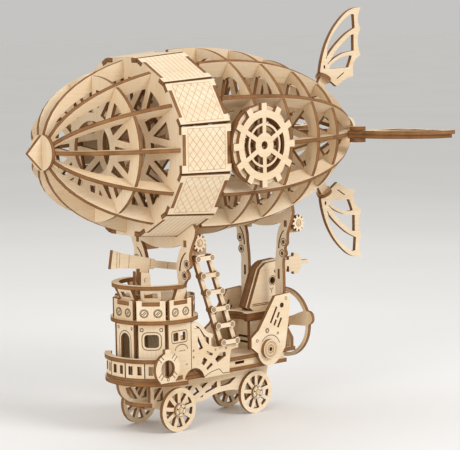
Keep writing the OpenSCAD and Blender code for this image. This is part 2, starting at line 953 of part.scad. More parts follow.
module crow_rail() {
    rail_r = tower_a + 1.3;
    color(wood_dark)
        on_ground()
            xy_board(crow_rail_z)
                front_half(2)
                    translate([tower_x, 0])
                        annulus(rail_r, rail_r - 4.5);
}

module crow_slats() {
    foot_a = tower_a - 4;
    head_a = tower_a - 0.6;
    slat_w = 12.6;
    // The side slats are cut short where the saddle's legs stand
    back = min(slat_w / 2, front_saddle_x - ply / 2 - tower_x - side_play / 2);
    half_w = 1.5 + back;
    color(wood_light)
        on_ground()
            translate([tower_x, 0, 0])
                for (k = [-2:2])
                    rotate([0, 0, 180 + k * 45]) {
                        whole = abs(k) < 2;
                        low = k == 2 ? -1.5 : k == -2 ? -back : -slat_w / 2;
                        translate([0, low, 0])
                            difference() {
                                translate([0, whole ? slat_w : half_w, 0])
                                    rotate([90, 0, 0])
                                        linear_extrude(whole ? slat_w : half_w)
                                            polygon([[foot_a - ply, crow_top], [foot_a, crow_top],
                                                     [head_a, crow_rail_z], [head_a - ply, crow_rail_z]]);
                                if (whole)
                                    translate([foot_a - 2 * ply, 2.2, crow_top + 2])
                                        cube([4 * ply + 4, slat_w - 4.4, basket_h - 4]);
                            }
                    }
}

module crow_floor() {
    inner_a = tower_a - ply - 0.1;
    edge_half = panel_w / 2 - merlon_w - slot_play;
    color(wood_dark)
        on_ground()
            xy_board(crow_z)
                difference() {
                    translate([tower_x, 0]) {
                        polygon(regular(8, inner_a, 22.5));
                        for (k = [0:7])
                            rotate(k * 45)
                                translate([inner_a - 1, -edge_half])
                                    square([tower_a + 0.3 - inner_a + 1, 2 * edge_half]);
                    }
                    translate([scope_x, 0])
                        circle(spigot_r + pin_play);
                }
}

// One flat panel of an octagon, drawn in width and height, standing at its place
module octagon_panel(k, a) {
    translate([tower_x, 0, 0])
        rotate([0, 0, 180 + k * 45])
            yz_board(a - ply / 2)
                children();
}

module tower_panels() {
    color(wood_light)
        on_ground()
            for (k = [0:7])
                octagon_panel(k, tower_a)
                    difference() {
                        translate([-panel_w / 2, porthole_z])
                            square([panel_w, porthole_h + ply + merlon_top]);
                        translate([merlon_w - panel_w / 2, crow_z])
                            square([panel_w - 2 * merlon_w, 2 * ply]);
                    }
}

module tower_floor() {
    floor_r = tower_a / cos(22.5) + 0.3;
    color(wood_dark)
        on_ground()
            xy_board(tower_floor_z)
                translate([tower_x, 0])
                    annulus(floor_r, tower_a / 2);
}

module arched_door(w, h) {
    translate([-w / 2, 0])
        square([w, h - w / 2]);
    translate([0, h - w / 2])
        circle(w / 2);
}

module wheelhouse_panels() {
    door_w = 8.2;
    window_z = floor_z + house_h * 0.68;
    side_foot = tower_x + 0.2;
    // The slanted panels behind end just inside the side walls
    rear_w = min(house_w, 2 * ((wall_y - side_play / 2) * sqrt(2) - house_a));
    side_w = house_w + 2;
    color(wood_light)
        on_ground() {
            for (k = [0, 1, 3, 4, 5, 7])
                octagon_panel(k, house_a)
                    difference() {
                        w = k == 3 || k == 5 ? rear_w : house_w;
                        translate([-w / 2, floor_z])
                            square([w, house_h]);
                        if (k % 4 == 0)
                            translate([0, floor_z + 3.5])
                                arched_door(door_w, house_h - 9.5);
                        else
                            translate([0, window_z])
                                rounded_rect(9, 8, 2);
                    }
            both_sides()
                xz_board(-house_a + ply / 2)
                    difference() {
                        union() {
                            translate([tower_x - side_w / 2, floor_z])
                                square([side_w, house_h]);
                            translate([side_foot, deck_z])
                                square([tower_x + side_w / 2 - side_foot, 2 * ply + 1]);
                        }
                        for (dx = [-3.2, 2.6])
                            translate([tower_x + dx, window_z + 1.8])
                                rounded_rect(4, 5.2, 0.8);
                        wheel_arch();
                    }
        }
}

// Round opening low in the side, shared by the wheelhouse and the truss behind it
module wheel_arch() {
    translate([tower_x + 11.5, deck_z - 1])
        circle(8.4);
}

// Bow: rail, window panels, decks and keel
module bow_sector(span) {
    reach = 2 * bow_r;
    polygon([[0, 0], reach * [-cos(span), sin(span)], [-reach, reach * sin(span)],
             [-reach, -reach * sin(span)], reach * [-cos(span), -sin(span)]]);
}

module bow_rail() {
    color(wood_dark)
        on_ground()
            translate([tower_x, 0, 0])
                xy_board(rail_z)
                    intersection() {
                        annulus(bow_r + 1, bow_r + 1 - rail_w);
                        bow_sector(rail_span);
                    }
}

module bow_windows() {
    face_a = bow_r - 0.6;
    wide = 12.2;
    narrow = 7;
    color(wood_light)
        on_ground()
            translate([tower_x, 0, 0])
                for (a = [-44.5, -25, 0, 25, 44.5]) {
                    w = abs(a) < 30 ? wide : narrow;
                    panes = abs(a) < 30 ? [-3, 3] : [0];
                    rotate([0, 0, 180 + a])
                        yz_board(face_a - ply / 2)
                            difference() {
                                translate([-w / 2, floor_z])
                                    square([w, bow_window_h]);
                                for (x = panes)
                                    translate([x, floor_z + bow_window_h / 2])
                                        square([2.8, bow_window_h * 0.58], center = true);
                            }
                }
}

module deck_outline(r, x1) {
    translate([tower_x, 0])
        intersection() {
            circle(r);
            translate([-2 * r, -r])
                square(2 * r);
        }
    translate([tower_x - 1, -deck_half])
        square([x1 - tower_x + 1, 2 * deck_half]);
}

module upper_deck() {
    color(wood_dark)
        on_ground()
            xy_board(deck2_z)
                intersection() {
                    deck_outline(bow_r, truss_x1);
                    translate([tower_x - 2 * bow_r, -deck_flat])
                        square([truss_x1 + 4 * bow_r, 2 * deck_flat]);
                }
}

module lower_deck() {
    color(wood_dark)
        on_ground()
            xy_board(deck_z)
                deck_outline(bow_r + 0.8, rear_saddle_x);
}

// Lifebuoy standing on the lower deck beside the near edge of the upper one, with a knob on top
module lifebuoy() {
    ring_r = 9.6;
    hole_r = 5.4;
    foot_w = 12;
    foot_in = 1.2;
    color(wood_light)
        on_ground()
            xz_board(-deck_flat - slot_play - ply / 2)
                translate([tower_x - 14.1, deck2_z])
                    intersection() {
                        translate([-2 * ring_r, 0])
                            square(4 * ring_r);
                        translate([0, ring_r - foot_in]) {
                            annulus(ring_r, hole_r);
                            difference() {
                                translate([-foot_w / 2, -ring_r])
                                    square([foot_w, 4]);
                                circle(hole_r);
                            }
                            translate([-2, ring_r - 0.8])
                                square([4, 3.2]);
                        }
                    }
}

module bow_keel() {
    plate_z = 16.5;
    plate_top = plate_z + ply;
    plate_r = bow_r - 13.4;
    keel_x0 = tower_x - bow_r - 0.4;
    keel_x1 = front_axle_x - 7.2;
    color(wood)
        on_ground() {
            xy_board(plate_z)
                intersection() {
                    translate([tower_x - 3.2, 0])
                        circle(plate_r);
                    translate([beam_front - 0.15 - 2 * plate_r, -plate_r])
                        square(2 * plate_r);
                }
            xz_board(0)
                difference() {
                    polygon(concat([[keel_x1, deck_z], [keel_x1, plate_top]],
                                   bezier([keel_x0 + 11.2, plate_top], [keel_x0 + 0.6, plate_top + 3],
                                          [keel_x0, deck_z])));
                    difference() {
                        polygon([[keel_x0 + 5.4, deck_z - 2.6], [keel_x0 + 6.2, deck_z - 5.6],
                                 [keel_x0 + 9, plate_top + 3], [keel_x0 + 13, plate_top + 1.8],
                                 [keel_x1 - 3, plate_top + 1.8], [keel_x1 - 3, deck_z - 2.6]]);
                        bar([keel_x0 + 9, deck_z], [keel_x0 + 17, plate_top], 2);
                        bar([keel_x1 - 10, plate_top], [keel_x1 - 1, deck_z], 2);
                    }
                }
        }
}

// Chassis beams with crossed braces carry both axles
module chassis_beams() {
    rear = rear_axle_x + 13.7;
    nose = [beam_front - front_axle_x, 16.5 - deck_z];
    belly = spline([[-5.5, wheel_r - 1 - deck_z], [0, wheel_r - 4.6 - deck_z], [7, wheel_r - 3 - deck_z],
                    [20, -17.9], [26, -17.6], [31, -16.5], [37, -14.8], [47, -13.8], [56, -14.5]]);
    hanger = spline([[-8, wheel_r + 1], [-4, wheel_r - 5], [4, wheel_r - 5], [10, wheel_r + 3],
                     [rear - rear_axle_x, deck_z]]);
    // Openings between the crossed braces, as distances from the front axle and down from the deck
    openings = [[[-12.8, -4], [-12.8, -11.4], [-6.4, -4]], [[-11, -12.2], [-5.6, -12.2], [-5.6, -5.6]],
                [[11.9, -6.3], [18.9, -6.5], [16.2, -9.3]],
                [[21.7, -7.8], [24.5, -11.4], [19.8, -13.2], [18.5, -11.6]],
                [[24.4, -6.2], [32, -6.4], [27.2, -9.6]],
                [[39.4, -6.3], [39.5, -10.4], [29.8, -13], [29.2, -12.2]],
                [[24.6, -14.9], [27.6, -13.6], [27.4, -15]],
                [[42.6, -6.9], [56.3, -6.2], [50.7, -9.8], [47.5, -10.3], [42.5, -10.5]]];
    color(wood)
        on_ground()
            both_sides()
                xz_board(-beam_y)
                    difference() {
                        union() {
                            translate([front_axle_x, deck_z])
                                polygon(concat([[nose[0], 0], nose], belly, [[56, 0]]));
                            polygon(concat([[front_axle_x + 55, deck_z], [front_axle_x + 55, deck_z - 14.45]],
                                           [for (p = hanger) [rear_axle_x + p[0], p[1]]]));
                        }
                        translate([front_axle_x, deck_z])
                            for (o = openings)
                                polygon(o);
                        for (x = [front_axle_x, rear_axle_x])
                            translate([x, wheel_r])
                                circle(axle_r + pin_play);
                    }
}

// Side walls behind the wheelhouse
function wall_up(h) = ladder_foot_z + h * wall_rise;

module truss_outline() {
    front = tower_x + house_w / 2 + 1.5;
    back = ladder_foot_x + ladder_w + 3;
    polygon(concat([[front, deck_z], [front, wall_up(13.9)], [35.4, wall_up(13.1)]],
                   spline([[35.6, wall_up(12.7)], [38.4, wall_up(8.3)], [42, wall_up(3)],
                           [47.2, wall_up(0.2)], [53, ladder_foot_z]]),
                   [[back, ladder_foot_z - 0.05], [back, deck_z + 15.7], [truss_x1 + 1, deck_z + 15.1],
                    [truss_x1, deck_z + 11.5], [truss_x1 - 1, deck_z]]));
}

module side_trusses() {
    color(wood_light)
        on_ground()
            both_sides()
                xz_board(-gear_y)
                    difference() {
                        truss_outline();
                        polygon([[34, wall_up(8.8)], [38.3, wall_up(0.5)], [35.3, wall_up(-0.3)],
                                 [33.8, wall_up(2.1)]]);
                        translate([0, deck_z]) {
                            polygon([[41.2, 16.8], [46.4, 14.4], [45.6, 13.1], [41.2, 15.1]]);
                            polygon([[38.9, 13.2], [41.8, 11.1], [38.8, 7.9], [36.6, 9.6]]);
                            polygon([[44.8, 9], [46.3, 7.4], [41.7, 4.7], [40.6, 6]]);
                            polygon([[52.4, 14.2], [57, 14.1], [57.3, 11.6], [50, 8.3], [48.2, 10.8]]);
                        }
                        wheel_arch();
                    }
}

module handrails() {
    front = tower_x + house_w / 2 + 1.5;
    upper = [[front, 17.8], [33, 17.4], [36.4, 16.1], [39, 13.3], [41.2, 10.7], [44, 9.3], [47, 8.3]];
    lower = [[front, 15.1], [32.5, 15], [35, 14], [37.2, 11.6], [39.4, 8.7], [42.5, 6.7], [46.2, 5.9]];
    color(wood_light)
        on_ground()
            both_sides()
                xz_board(-gear_y)
                    difference() {
                        union() {
                            polygon(concat(spline([for (p = upper) [p[0], wall_up(p[1])]]),
                                           reversed(spline([for (p = lower) [p[0], wall_up(p[1])]]))));
                            translate([front, wall_up(10.1)])
                                square([2.4, wall_up(16.1) - wall_up(10.1)]);
                            translate([43.2, wall_up(-1.9)])
                                square([2, wall_up(7.1) - wall_up(-1.9)]);
                        }
                        truss_outline();
                    }
}

// Rear deck on its risers
module rear_risers() {
    color(wood_light)
        on_ground()
            both_sides()
                xz_board(-deck_half + 3)
                    difference() {
                        translate([rear_floor_x0 + 1, deck2_z])
                            square([rear_saddle_x - rear_floor_x0 - 2, rear_floor_z - deck2_z]);
                        translate([rear_floor_x0 + 6, deck2_z + 1.3])
                            square([8, 1.8]);
                    }
}

module rear_floor() {
    color(wood_dark)
        on_ground()
            xy_board(rear_floor_z)
                translate([rear_floor_x0, -deck_half])
                    square([rear_floor_x1 - rear_floor_x0, 2 * deck_half]);
}

// Slanted rear housings with louvres and a round belly
module rear_housings() {
    louvres = [[[-16.6, 27.4], [-11, 37.4]], [[-10.5, 30.2], [-8.8, 33.7]], [[-13.4, 25.6], [-11.5, 29.1]],
               [[-10.2, 23.9], [-6.9, 29.8]]];
    color(wood_light)
        on_ground()
            both_sides()
                xz_board(-gear_y)
                    translate([rear_saddle_x, deck_z])
                        difference() {
                            union() {
                                polygon([[-33.4, 13.5], [-33.4, 19.6], [-26.9, 24], [-12.2, 44.4],
                                         [1, 45.3], [0.8, 34.9], [-3.5, 10.6], [-7, 6.5], [-24, 6.5]]);
                                translate([-17.2, 10.8])
                                    circle(10.6);
                            }
                            for (l = louvres)
                                bar(l[0], l[1], 1.5);
                        }
}

module housing_discs() {
    disc_r = 6.1;
    color(wood_light)
        on_ground()
            both_sides()
                translate([rear_saddle_x + disc_dx, 0, disc_z])
                    xz_board(-house_a - ply / 2)
                        annulus(disc_r, 1.4);
}

// Boiler of four slanted boards standing on the seat, with the horn let into its back
module boiler_outline(grow) {
    difference() {
        polygon([[-14, 0], [-17.3 - grow, 2.5], [-7.4 - grow, 26.4], [-2.4 - grow / 2, 29.9 + grow],
                 [9, 30.7 + grow], [15.2, 30.4], [17.2, 25.5], [7, 0]]);
        translate([3.6, 18.1])
            circle(2.4);
    }
}

module boiler() {
    color(wood_light)
        on_ground()
            translate([rear_saddle_x, 0, seat_top]) {
                both_sides()
                    xz_board(-1.5 * ply)
                        boiler_outline(0);
                both_sides()
                    xz_board(-0.5 * ply)
                        boiler_outline(1.2);
            }
}

module horn() {
    color(wood_light)
        on_ground()
            translate([rear_saddle_x + 16.4, 0, seat_top + 26.5])
                xz_board(0)
                    polygon(concat([[0.42, 0], [6.2, -1.5], [6.2, -5.2], [10.5, -5.2]],
                                   spline([[10.7, -7], [14.7, -6.4], [17.2, -3.6], [17.8, -1.1]]),
                                   [[24.2, -1.1], [24.2, 1.5], [17.8, 1.5]],
                                   spline([[17.6, 2.6], [15.2, 6], [11.7, 7], [10.7, 7]]),
                                   [[10.5, 5], [6.2, 5], [6.2, 3], [-0.8, 3]]));
}

// Seat of two curved layers on cheeks, with a front board between them
module seat() {
    cheek_y = 9;
    cheek_in = cheek_y - ply / 2;
    color(wood)
        on_ground()
            translate([rear_saddle_x, 0, 0]) {
                for (layer = [0, 1])
                    xy_board(seat_z + layer * ply)
                        difference() {
                            polygon([[-25, -11], [7.5, -11], [7.5, 11], [-25, 11]]);
                            translate([-31, 0])
                                circle(10 - layer * 0.6);
                        }
                yz_board(-16)
                    difference() {
                        translate([-cheek_in, rear_floor_top])
                            square([2 * cheek_in, seat_z - rear_floor_top]);
                        for (z = [3, 6.5])
                            translate([-5.5, rear_floor_top + z])
                                square([11, 1.4]);
                    }
                both_sides()
                    xz_board(-cheek_y)
                        polygon([[-22, rear_floor_top], [-9, rear_floor_top], [-9, seat_z], [-22, seat_z]]);
            }
}

// Cross frames that carry the propeller shaft
module stern_frames() {
    color(wood)
        on_ground()
            for (dx = [-6.8, 5.2])
                yz_board(rear_saddle_x + dx)
                    difference() {
                        polygon([[-deck_half + 0.1, rear_floor_top], [deck_half - 0.1, rear_floor_top],
                                 [deck_half - 0.1, rear_floor_top + 6], [10.8, seat_z], [-10.8, seat_z],
                                 [-deck_half + 0.1, rear_floor_top + 6]]);
                        translate([0, prop_z])
                            circle(axle_r + pin_play);
                    }
}

module propeller() {
    ring_w = 2.5;
    blade_start = 12;
    tip = prop_r + 3.6;
    edge = [[0, 2], [5, 2.8], [10, 3.3], [14, 4], [18, 4.6], [22, 4.7], [tip - 1.6, 3.7], [tip, 1.7]];
    blade = concat(edge, [for (p = reversed(edge)) [p[0], -p[1]]]);
    color(wood_light)
        on_ground()
            translate([rear_saddle_x + prop_dx, 0, prop_z])
                difference() {
                    union() {
                        yz_board(0)
                            annulus(prop_r, prop_r - ring_w);
                        yz_board(0)
                            circle(4.2);
                        for (k = [0:blade_n - 1])
                            yz_board(0)
                                rotate(180 - blade_start + k * 360 / blade_n)
                                    polygon(spline(blade));
                    }
                    yz_board(0, 2 * ply)
                        circle(axle_r + 0.02);
                }
}

module propeller_shaft() {
    color(wood_dark)
        on_ground()
            translate([rear_saddle_x - 10, 0, prop_z])
                rotate([0, 90, 0])
                    cylinder(r = axle_r, h = prop_dx + 10 + ply / 2 + 1.5);
}

// Axles and wheels
module axle(x, half_len) {
    color(wood_dark)
        on_ground()
            translate([x, half_len, wheel_r])
                rotate([90, 0, 0])
                    cylinder(r = axle_r, h = 2 * half_len);
}

module wheel_profile() {
    rim_in = wheel_r - 2.9;
    hub_r = 4.6;
    spoke_w = 2.4;
    difference() {
        union() {
            annulus(wheel_r, rim_in);
            circle(hub_r);
            for (k = [0:spoke_n - 1])
                rotate(90 + k * 360 / spoke_n)
                    translate([hub_r - 1, -spoke_w / 2])
                        square([rim_in - hub_r + 2, spoke_w]);
        }
        circle(axle_r + 0.02);
    }
}

// A pair of wheels with their hub caps; spacers reach in to the beams where the track is wide
module wheel_pair(x, outer_y, spacer) {
    cap_r = 4.4;
    cap_t = 1.6;
    spacer_in = beam_y + ply / 2 + side_play;
    color(wood_light)
        on_ground()
            both_sides()
                translate([x, 0, wheel_r]) {
                    xz_board(-outer_y + ply / 2)
                        wheel_profile();
                    xz_board(-outer_y - cap_t / 2, cap_t)
                        difference() {
                            circle(cap_r);
                            circle(axle_r + 0.02);
                            for (k = [0:4])
                                rotate(90 + k * 72)
                                    translate([2.9, 0])
                                        circle(0.6);
                        }
                    if (spacer)
                        xz_board(-(spacer_in + outer_y - ply) / 2, outer_y - ply - spacer_in)
                            annulus(4, axle_r + 0.02);
                }
}

module front_axle() { axle(front_axle_x, front_track + 2.1); }
module front_wheels() { wheel_pair(front_axle_x, front_track, true); }
module rear_axle() { axle(rear_axle_x, rear_track + 2.1); }
module rear_wheels() { wheel_pair(rear_axle_x, rear_track, false); }

nose_cap();
front_ribs();
aft_ribs();
ring_1();
ring_2();
ring_3();
ring_4();
ring_5();
ring_6();
ring_7();
band_panels();
emblem_backings();
emblem_wheels();
tail_cap();
vertical_fins();
side_fins();
fin_collars();
front_saddle();
rear_saddle();
gear_brackets();
gear_pins();
gear_front_near();
gear_front_far();
gear_rear_near();
gear_rear_far();
ladder_rails();
ladder_rungs();
telescope();
telescope_post();
crow_rail();
crow_slats();
crow_floor();
tower_panels();
tower_floor();
wheelhouse_panels();
bow_rail();
bow_windows();
upper_deck();
lower_deck();
lifebuoy();
bow_keel();
chassis_beams();
side_trusses();
handrails();
rear_risers();
rear_floor();
rear_housings();
housing_discs();
boiler();
horn();
seat();
stern_frames();
propeller();
propeller_shaft();
front_axle();
front_wheels();
rear_axle();
rear_wheels();
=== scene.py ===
# %% [markdown]
# # A plywood airship, board by board
# The object is a display model cut by laser from thin sheets of plywood and slotted together. Every board has two pale
# faces with a fine grain and a brown, scorched edge where the beam went through. The shapes could be modelled again,
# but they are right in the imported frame, so this lesson loads that frame, gives each board its two finishes, draws the
# burnt lines on the boards and sets up the picture. Everything is in metres: the nose points to -X, the near side is
# -Y and the wheels stand on z = 0.

# %% Load the frame
import bpy
import bmesh
import json
import math
import random
from mathutils import Matrix, Vector


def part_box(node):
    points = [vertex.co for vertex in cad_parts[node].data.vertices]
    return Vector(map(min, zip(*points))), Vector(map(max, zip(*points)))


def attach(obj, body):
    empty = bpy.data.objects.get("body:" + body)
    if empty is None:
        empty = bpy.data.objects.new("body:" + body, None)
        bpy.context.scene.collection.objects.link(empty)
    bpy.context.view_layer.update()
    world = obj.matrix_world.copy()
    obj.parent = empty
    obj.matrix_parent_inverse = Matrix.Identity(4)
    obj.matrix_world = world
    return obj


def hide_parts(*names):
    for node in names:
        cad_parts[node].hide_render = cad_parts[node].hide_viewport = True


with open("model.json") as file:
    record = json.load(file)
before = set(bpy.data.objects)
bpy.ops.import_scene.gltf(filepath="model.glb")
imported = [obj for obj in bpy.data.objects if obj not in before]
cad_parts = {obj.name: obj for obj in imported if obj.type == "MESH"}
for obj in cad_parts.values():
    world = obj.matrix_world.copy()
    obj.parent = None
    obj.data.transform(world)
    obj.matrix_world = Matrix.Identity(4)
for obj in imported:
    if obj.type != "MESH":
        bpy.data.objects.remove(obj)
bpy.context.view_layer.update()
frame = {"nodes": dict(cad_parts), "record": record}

nodes = frame["nodes"]
body_of_node = {n: b for b, members in frame["record"]["behaviour"]["bodies"].items() for n in members}
X, Y, Z = Vector((1, 0, 0)), Vector((0, 1, 0)), Vector((0, 0, 1))
NEAR, FAR = -1, 1


def placed(name, data):
    """A new object at the origin of the scene."""
    thing = bpy.data.objects.new(name, data)
    bpy.context.scene.collection.objects.link(thing)
    return thing


# %% [markdown]
# ## Camera
# A camera can be placed by eye, but here its place was worked out from the picture itself: matching points on the
# model and in the picture give the distance, the angle and the lens. The columns of the matrix are the camera's right,
# up and backward directions.

# %% Camera
PICTURE_W = 460
FOCAL_PX = 1859.05
SENSOR_W = 36
CAMERA_PLACE = (-0.78445, -0.86597, 0.25207)
turn, dip, roll = (math.radians(a) for a in (42.85, 6.32, -0.79))
ahead = Vector((math.sin(turn) * math.cos(dip), math.cos(turn) * math.cos(dip), -math.sin(dip)))
level = Vector((math.cos(turn), -math.sin(turn), 0))
upright = level.cross(ahead)
right = level * math.cos(roll) + upright * math.sin(roll)
up = upright * math.cos(roll) - level * math.sin(roll)

lens = bpy.data.cameras.new("picture_camera")
lens.sensor_width = SENSOR_W
lens.lens = SENSOR_W * FOCAL_PX / PICTURE_W
lens.clip_end = 60
camera = placed("picture_camera", lens)
looking = Matrix((right, up, -ahead)).transposed().to_4x4()
camera.matrix_world = Matrix.Translation(CAMERA_PLACE) @ looking
bpy.context.scene.camera = camera
bpy.context.scene.view_settings.view_transform = "Standard"
print("camera: lens", round(lens.lens, 1), "mm")

# %% [markdown]
# ## Finishes
# The model shows four surfaces: pale faces, scorched edges, burnt lines and round dowels. Pictures of wood could be
# wrapped round the boards, but they would need a layout for each board and would show seams. Noise that is stretched
# along the grain has neither fault, so each finish is a small tree of nodes, built with the few steps below.

# %% A finish and the steps that build it
DRY_GLOSS = 0.25
BUMP_DEPTH = 0.0001


class Finish:
    """A material whose colour and bump are built up node by node."""

    def __init__(self, name, roughness):
        self.material = bpy.data.materials.new(name)
        self.material.use_nodes = True
        self.nodes, self.links = self.material.node_tree.nodes, self.material.node_tree.links
        self.shader = self.nodes["Principled BSDF"]
        self.shader.inputs["Roughness"].default_value = roughness
        self.shader.inputs["Specular IOR Level"].default_value = DRY_GLOSS

    def attribute(self, name, output):
        node = self.nodes.new("ShaderNodeAttribute")
        node.attribute_name = name
        return node.outputs[output]

    def place(self):
        return self.nodes.new("ShaderNodeTexCoord").outputs["Object"]

    def noise(self, vector, scale, detail=4):
        mapping = self.nodes.new("ShaderNodeMapping")
        mapping.inputs["Scale"].default_value = scale
        noise = self.nodes.new("ShaderNodeTexNoise")
        noise.inputs["Scale"].default_value = 1
        noise.inputs["Detail"].default_value = detail
        noise.inputs["Roughness"].default_value = 0.6
        self.links.new(vector, mapping.inputs["Vector"])
        self.links.new(mapping.outputs["Vector"], noise.inputs["Vector"])
        return noise.outputs["Fac"]

    def ramp(self, value, *stops):
        node = self.nodes.new("ShaderNodeValToRGB")
        points = node.color_ramp.elements
        while len(points) < len(stops):
            points.new(0.5)
        for point, (place, colour) in zip(points, stops):
            point.position = place
            point.color = (*colour, 1)
        self.links.new(value, node.inputs["Fac"])
        return node.outputs["Color"]

    def multiplied(self, first, second):
        node = self.nodes.new("ShaderNodeMix")
        node.data_type = "RGBA"
        node.blend_type = "MULTIPLY"
        node.inputs[0].default_value = 1  # the factor; sockets 6 and 7 are the two colours
        self.links.new(first, node.inputs[6])
        self.links.new(second, node.inputs[7])
        return node.outputs[2]

    def bump(self, height, strength):
        node = self.nodes.new("ShaderNodeBump")
        node.inputs["Strength"].default_value = strength
        node.inputs["Distance"].default_value = BUMP_DEPTH
        self.links.new(height, node.inputs["Height"])
        self.links.new(node.outputs["Normal"], self.shader.inputs["Normal"])

    def paint(self, colour):
        self.links.new(colour, self.shader.inputs["Base Color"])
        return self.material


# %% [markdown]
# ### Pale face
# The face of the sheet is pale and warm, with fine streaks, soft clouds and tiny pores, all along the grain, and no two
# boards have quite the same tone. Object coordinates would run the grain the same way through every board. So this
# finish reads a "board" attribute, which holds the place of a point along and across the grain of its own board, and a
# "tone" attribute, from a painted shade at 0, for boards that sit in shade, to the palest at 1.

# %% Pale face
WHITE = (1, 1, 1)
face = Finish("pale_face", 0.62)
on_board = face.attribute("board", "Vector")
tone_and_painted_shade_fac = face.attribute("tone", "Fac")
streaks = face.noise(on_board, (30, 1100, 1100))
clouds = face.noise(on_board, (14, 70, 70), detail=2)
pores = face.noise(on_board, (160, 2600, 2600), detail=1)
wood = face.ramp(streaks, (0.25, (0.79, 0.625, 0.43)), (0.5, (0.85, 0.70, 0.51)), (0.75, (0.88, 0.745, 0.565)))
# The last ramp gives each board its own tone from 0.4 to 1; below 0.4 it is painted shade for boards that sit in shade
for shade in (face.ramp(clouds, (0.35, (0.94, 0.89, 0.82)), (0.65, WHITE)),
              face.ramp(pores, (0.66, WHITE), (0.74, (0.86, 0.78, 0.68))),
              face.ramp(tone_and_painted_shade_fac, (0, (0.62, 0.50, 0.37)), (0.4, (0.91, 0.88, 0.83)), (1, WHITE))):
    wood = face.multiplied(wood, shade)
face.bump(streaks, 0.25)
face_finish = face.paint(wood)
print("finish:", face_finish.name)

# %% [markdown]
# ### Scorched edge
# The beam leaves the cut edge brown, darkest at its two rims, and the glue lines between the layers of the plywood show
# as thin dark stripes. One brown would lose the layers. So this finish reads a "depth" attribute that runs from one
# face of the board to the other, and a ramp turns the depth into layers. A coarse noise makes the burn uneven.

# %% Scorched edge
edge = Finish("scorched_edge", 0.8)
through_board = edge.attribute("depth", "Fac")
on_edge = edge.place()
rim, outer, glue, core = (0.05, 0.021, 0.008), (0.265, 0.122, 0.043), (0.14, 0.06, 0.02), (0.32, 0.155, 0.058)
layers = edge.ramp(through_board, (0, rim), (0.12, outer), (0.32, outer), (0.37, glue), (0.42, core),
                   (0.58, core), (0.63, glue), (0.68, outer), (0.88, outer), (1, rim))
burn = edge.noise(on_edge, (90, 90, 90), detail=3)
uneven_burn = edge.ramp(burn, (0.3, (0.72, 0.66, 0.60)), (0.7, (1.15, 1.15, 1.15)))
edge.bump(edge.noise(on_edge, (900, 900, 900)), 0.3)
edge_finish = edge.paint(edge.multiplied(layers, uneven_burn))
print("finish:", edge_finish.name)

# %% [markdown]
# ### Char and dowel
# Lines that the beam draws on a face are nearly black where it went slowly, and only tan where it ran fast, so there
# are three strengths of char. The axles and gear pins are turned sticks that lie across the model. Their fibres could
# follow an attribute too, but plain Object coordinates, stretched along Y, give the same. The propeller's short shaft
# shares that finish.

# %% Char and dowel
def char(name, dark, light):
    line = Finish(name, 0.85)
    uneven = line.noise(line.place(), (260, 260, 260), detail=2)
    return line.paint(line.ramp(uneven, (0.35, dark), (0.7, light)))


dark_line = char("dark_line", (0.05, 0.022, 0.009), (0.12, 0.055, 0.022))
soft_line = char("soft_line", (0.24, 0.125, 0.052), (0.40, 0.235, 0.11))
faint_line = char("faint_line", (0.46, 0.31, 0.175), (0.62, 0.44, 0.27))

dowel = Finish("turned_dowel", 0.6)
fibres = dowel.noise(dowel.place(), (300, 60, 300))
dowel.bump(fibres, 0.3)
dowel_finish = dowel.paint(dowel.ramp(fibres, (0.3, (0.58, 0.41, 0.24)), (0.7, (0.74, 0.56, 0.36))))
print("finishes:", [m.name for m in (dark_line, soft_line, faint_line, dowel_finish)])

# %% [markdown]
# ## Which way the boards face
# To tell a board's faces from its cut edges, one has to know which way the board faces. That could be guessed from the
# widest side of every solid, but a ring or a gear has more edge than face. So most nodes are listed by their direction.
# Flat panels that stand round an axis take their widest side, and a rib faces across the plane through it and the axis.

# %% Boards that face one way
def middle_of(node):
    low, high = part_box(node)
    return (low + high) / 2


AXIS_Z = middle_of("nose_cap").z


def widest(group):
    area = {}
    for triangle in group:
        n = triangle.normal
        key = tuple(round(c, 2) for c in (n if max(n, key=abs) > 0 else -n))
        area[key] = area.get(key, 0) + triangle.calc_area()
    return Vector(max(area, key=area.get)).normalized()


def across_rib(group):
    middle = sum((t.calc_center_median() * t.calc_area() for t in group), Vector())
    middle /= sum(t.calc_area() for t in group)
    outward = Vector((0, middle.y, middle.z - AXIS_Z)).normalized()
    return X.cross(outward)


GEARS = ["gear_front_near", "gear_front_far", "gear_rear_near", "gear_rear_far"]
WHEELS = ["front_wheels", "rear_wheels"]
flat_ways = {node: way for way, members in (
    (X, ["ring_%d" % i for i in range(1, 8)] + ["front_saddle", "rear_saddle", "propeller", "stern_frames"]),
    (Y, ["emblem_backings", "emblem_wheels", "vertical_fins", "gear_brackets"] + GEARS
     + ["ladder_rails", "ladder_rungs", "telescope", "lifebuoy", "chassis_beams", "side_trusses", "handrails",
        "rear_risers", "rear_housings", "housing_discs", "boiler", "horn"] + WHEELS),
    (Z, ["side_fins", "crow_rail", "crow_floor", "tower_floor", "bow_rail", "upper_deck", "lower_deck", "rear_floor"]),
    (widest, ["band_panels", "fin_collars", "crow_slats", "tower_panels", "wheelhouse_panels"]),
    (across_rib, ["front_ribs", "aft_ribs"])) for node in members}
print("boards that face one way:", len(flat_ways), "nodes")

# %% [markdown]
# A few nodes hold boards of several directions in one solid, such as the nose with its disc and its pointed board. For
# these, the place of a triangle says which board it is on.

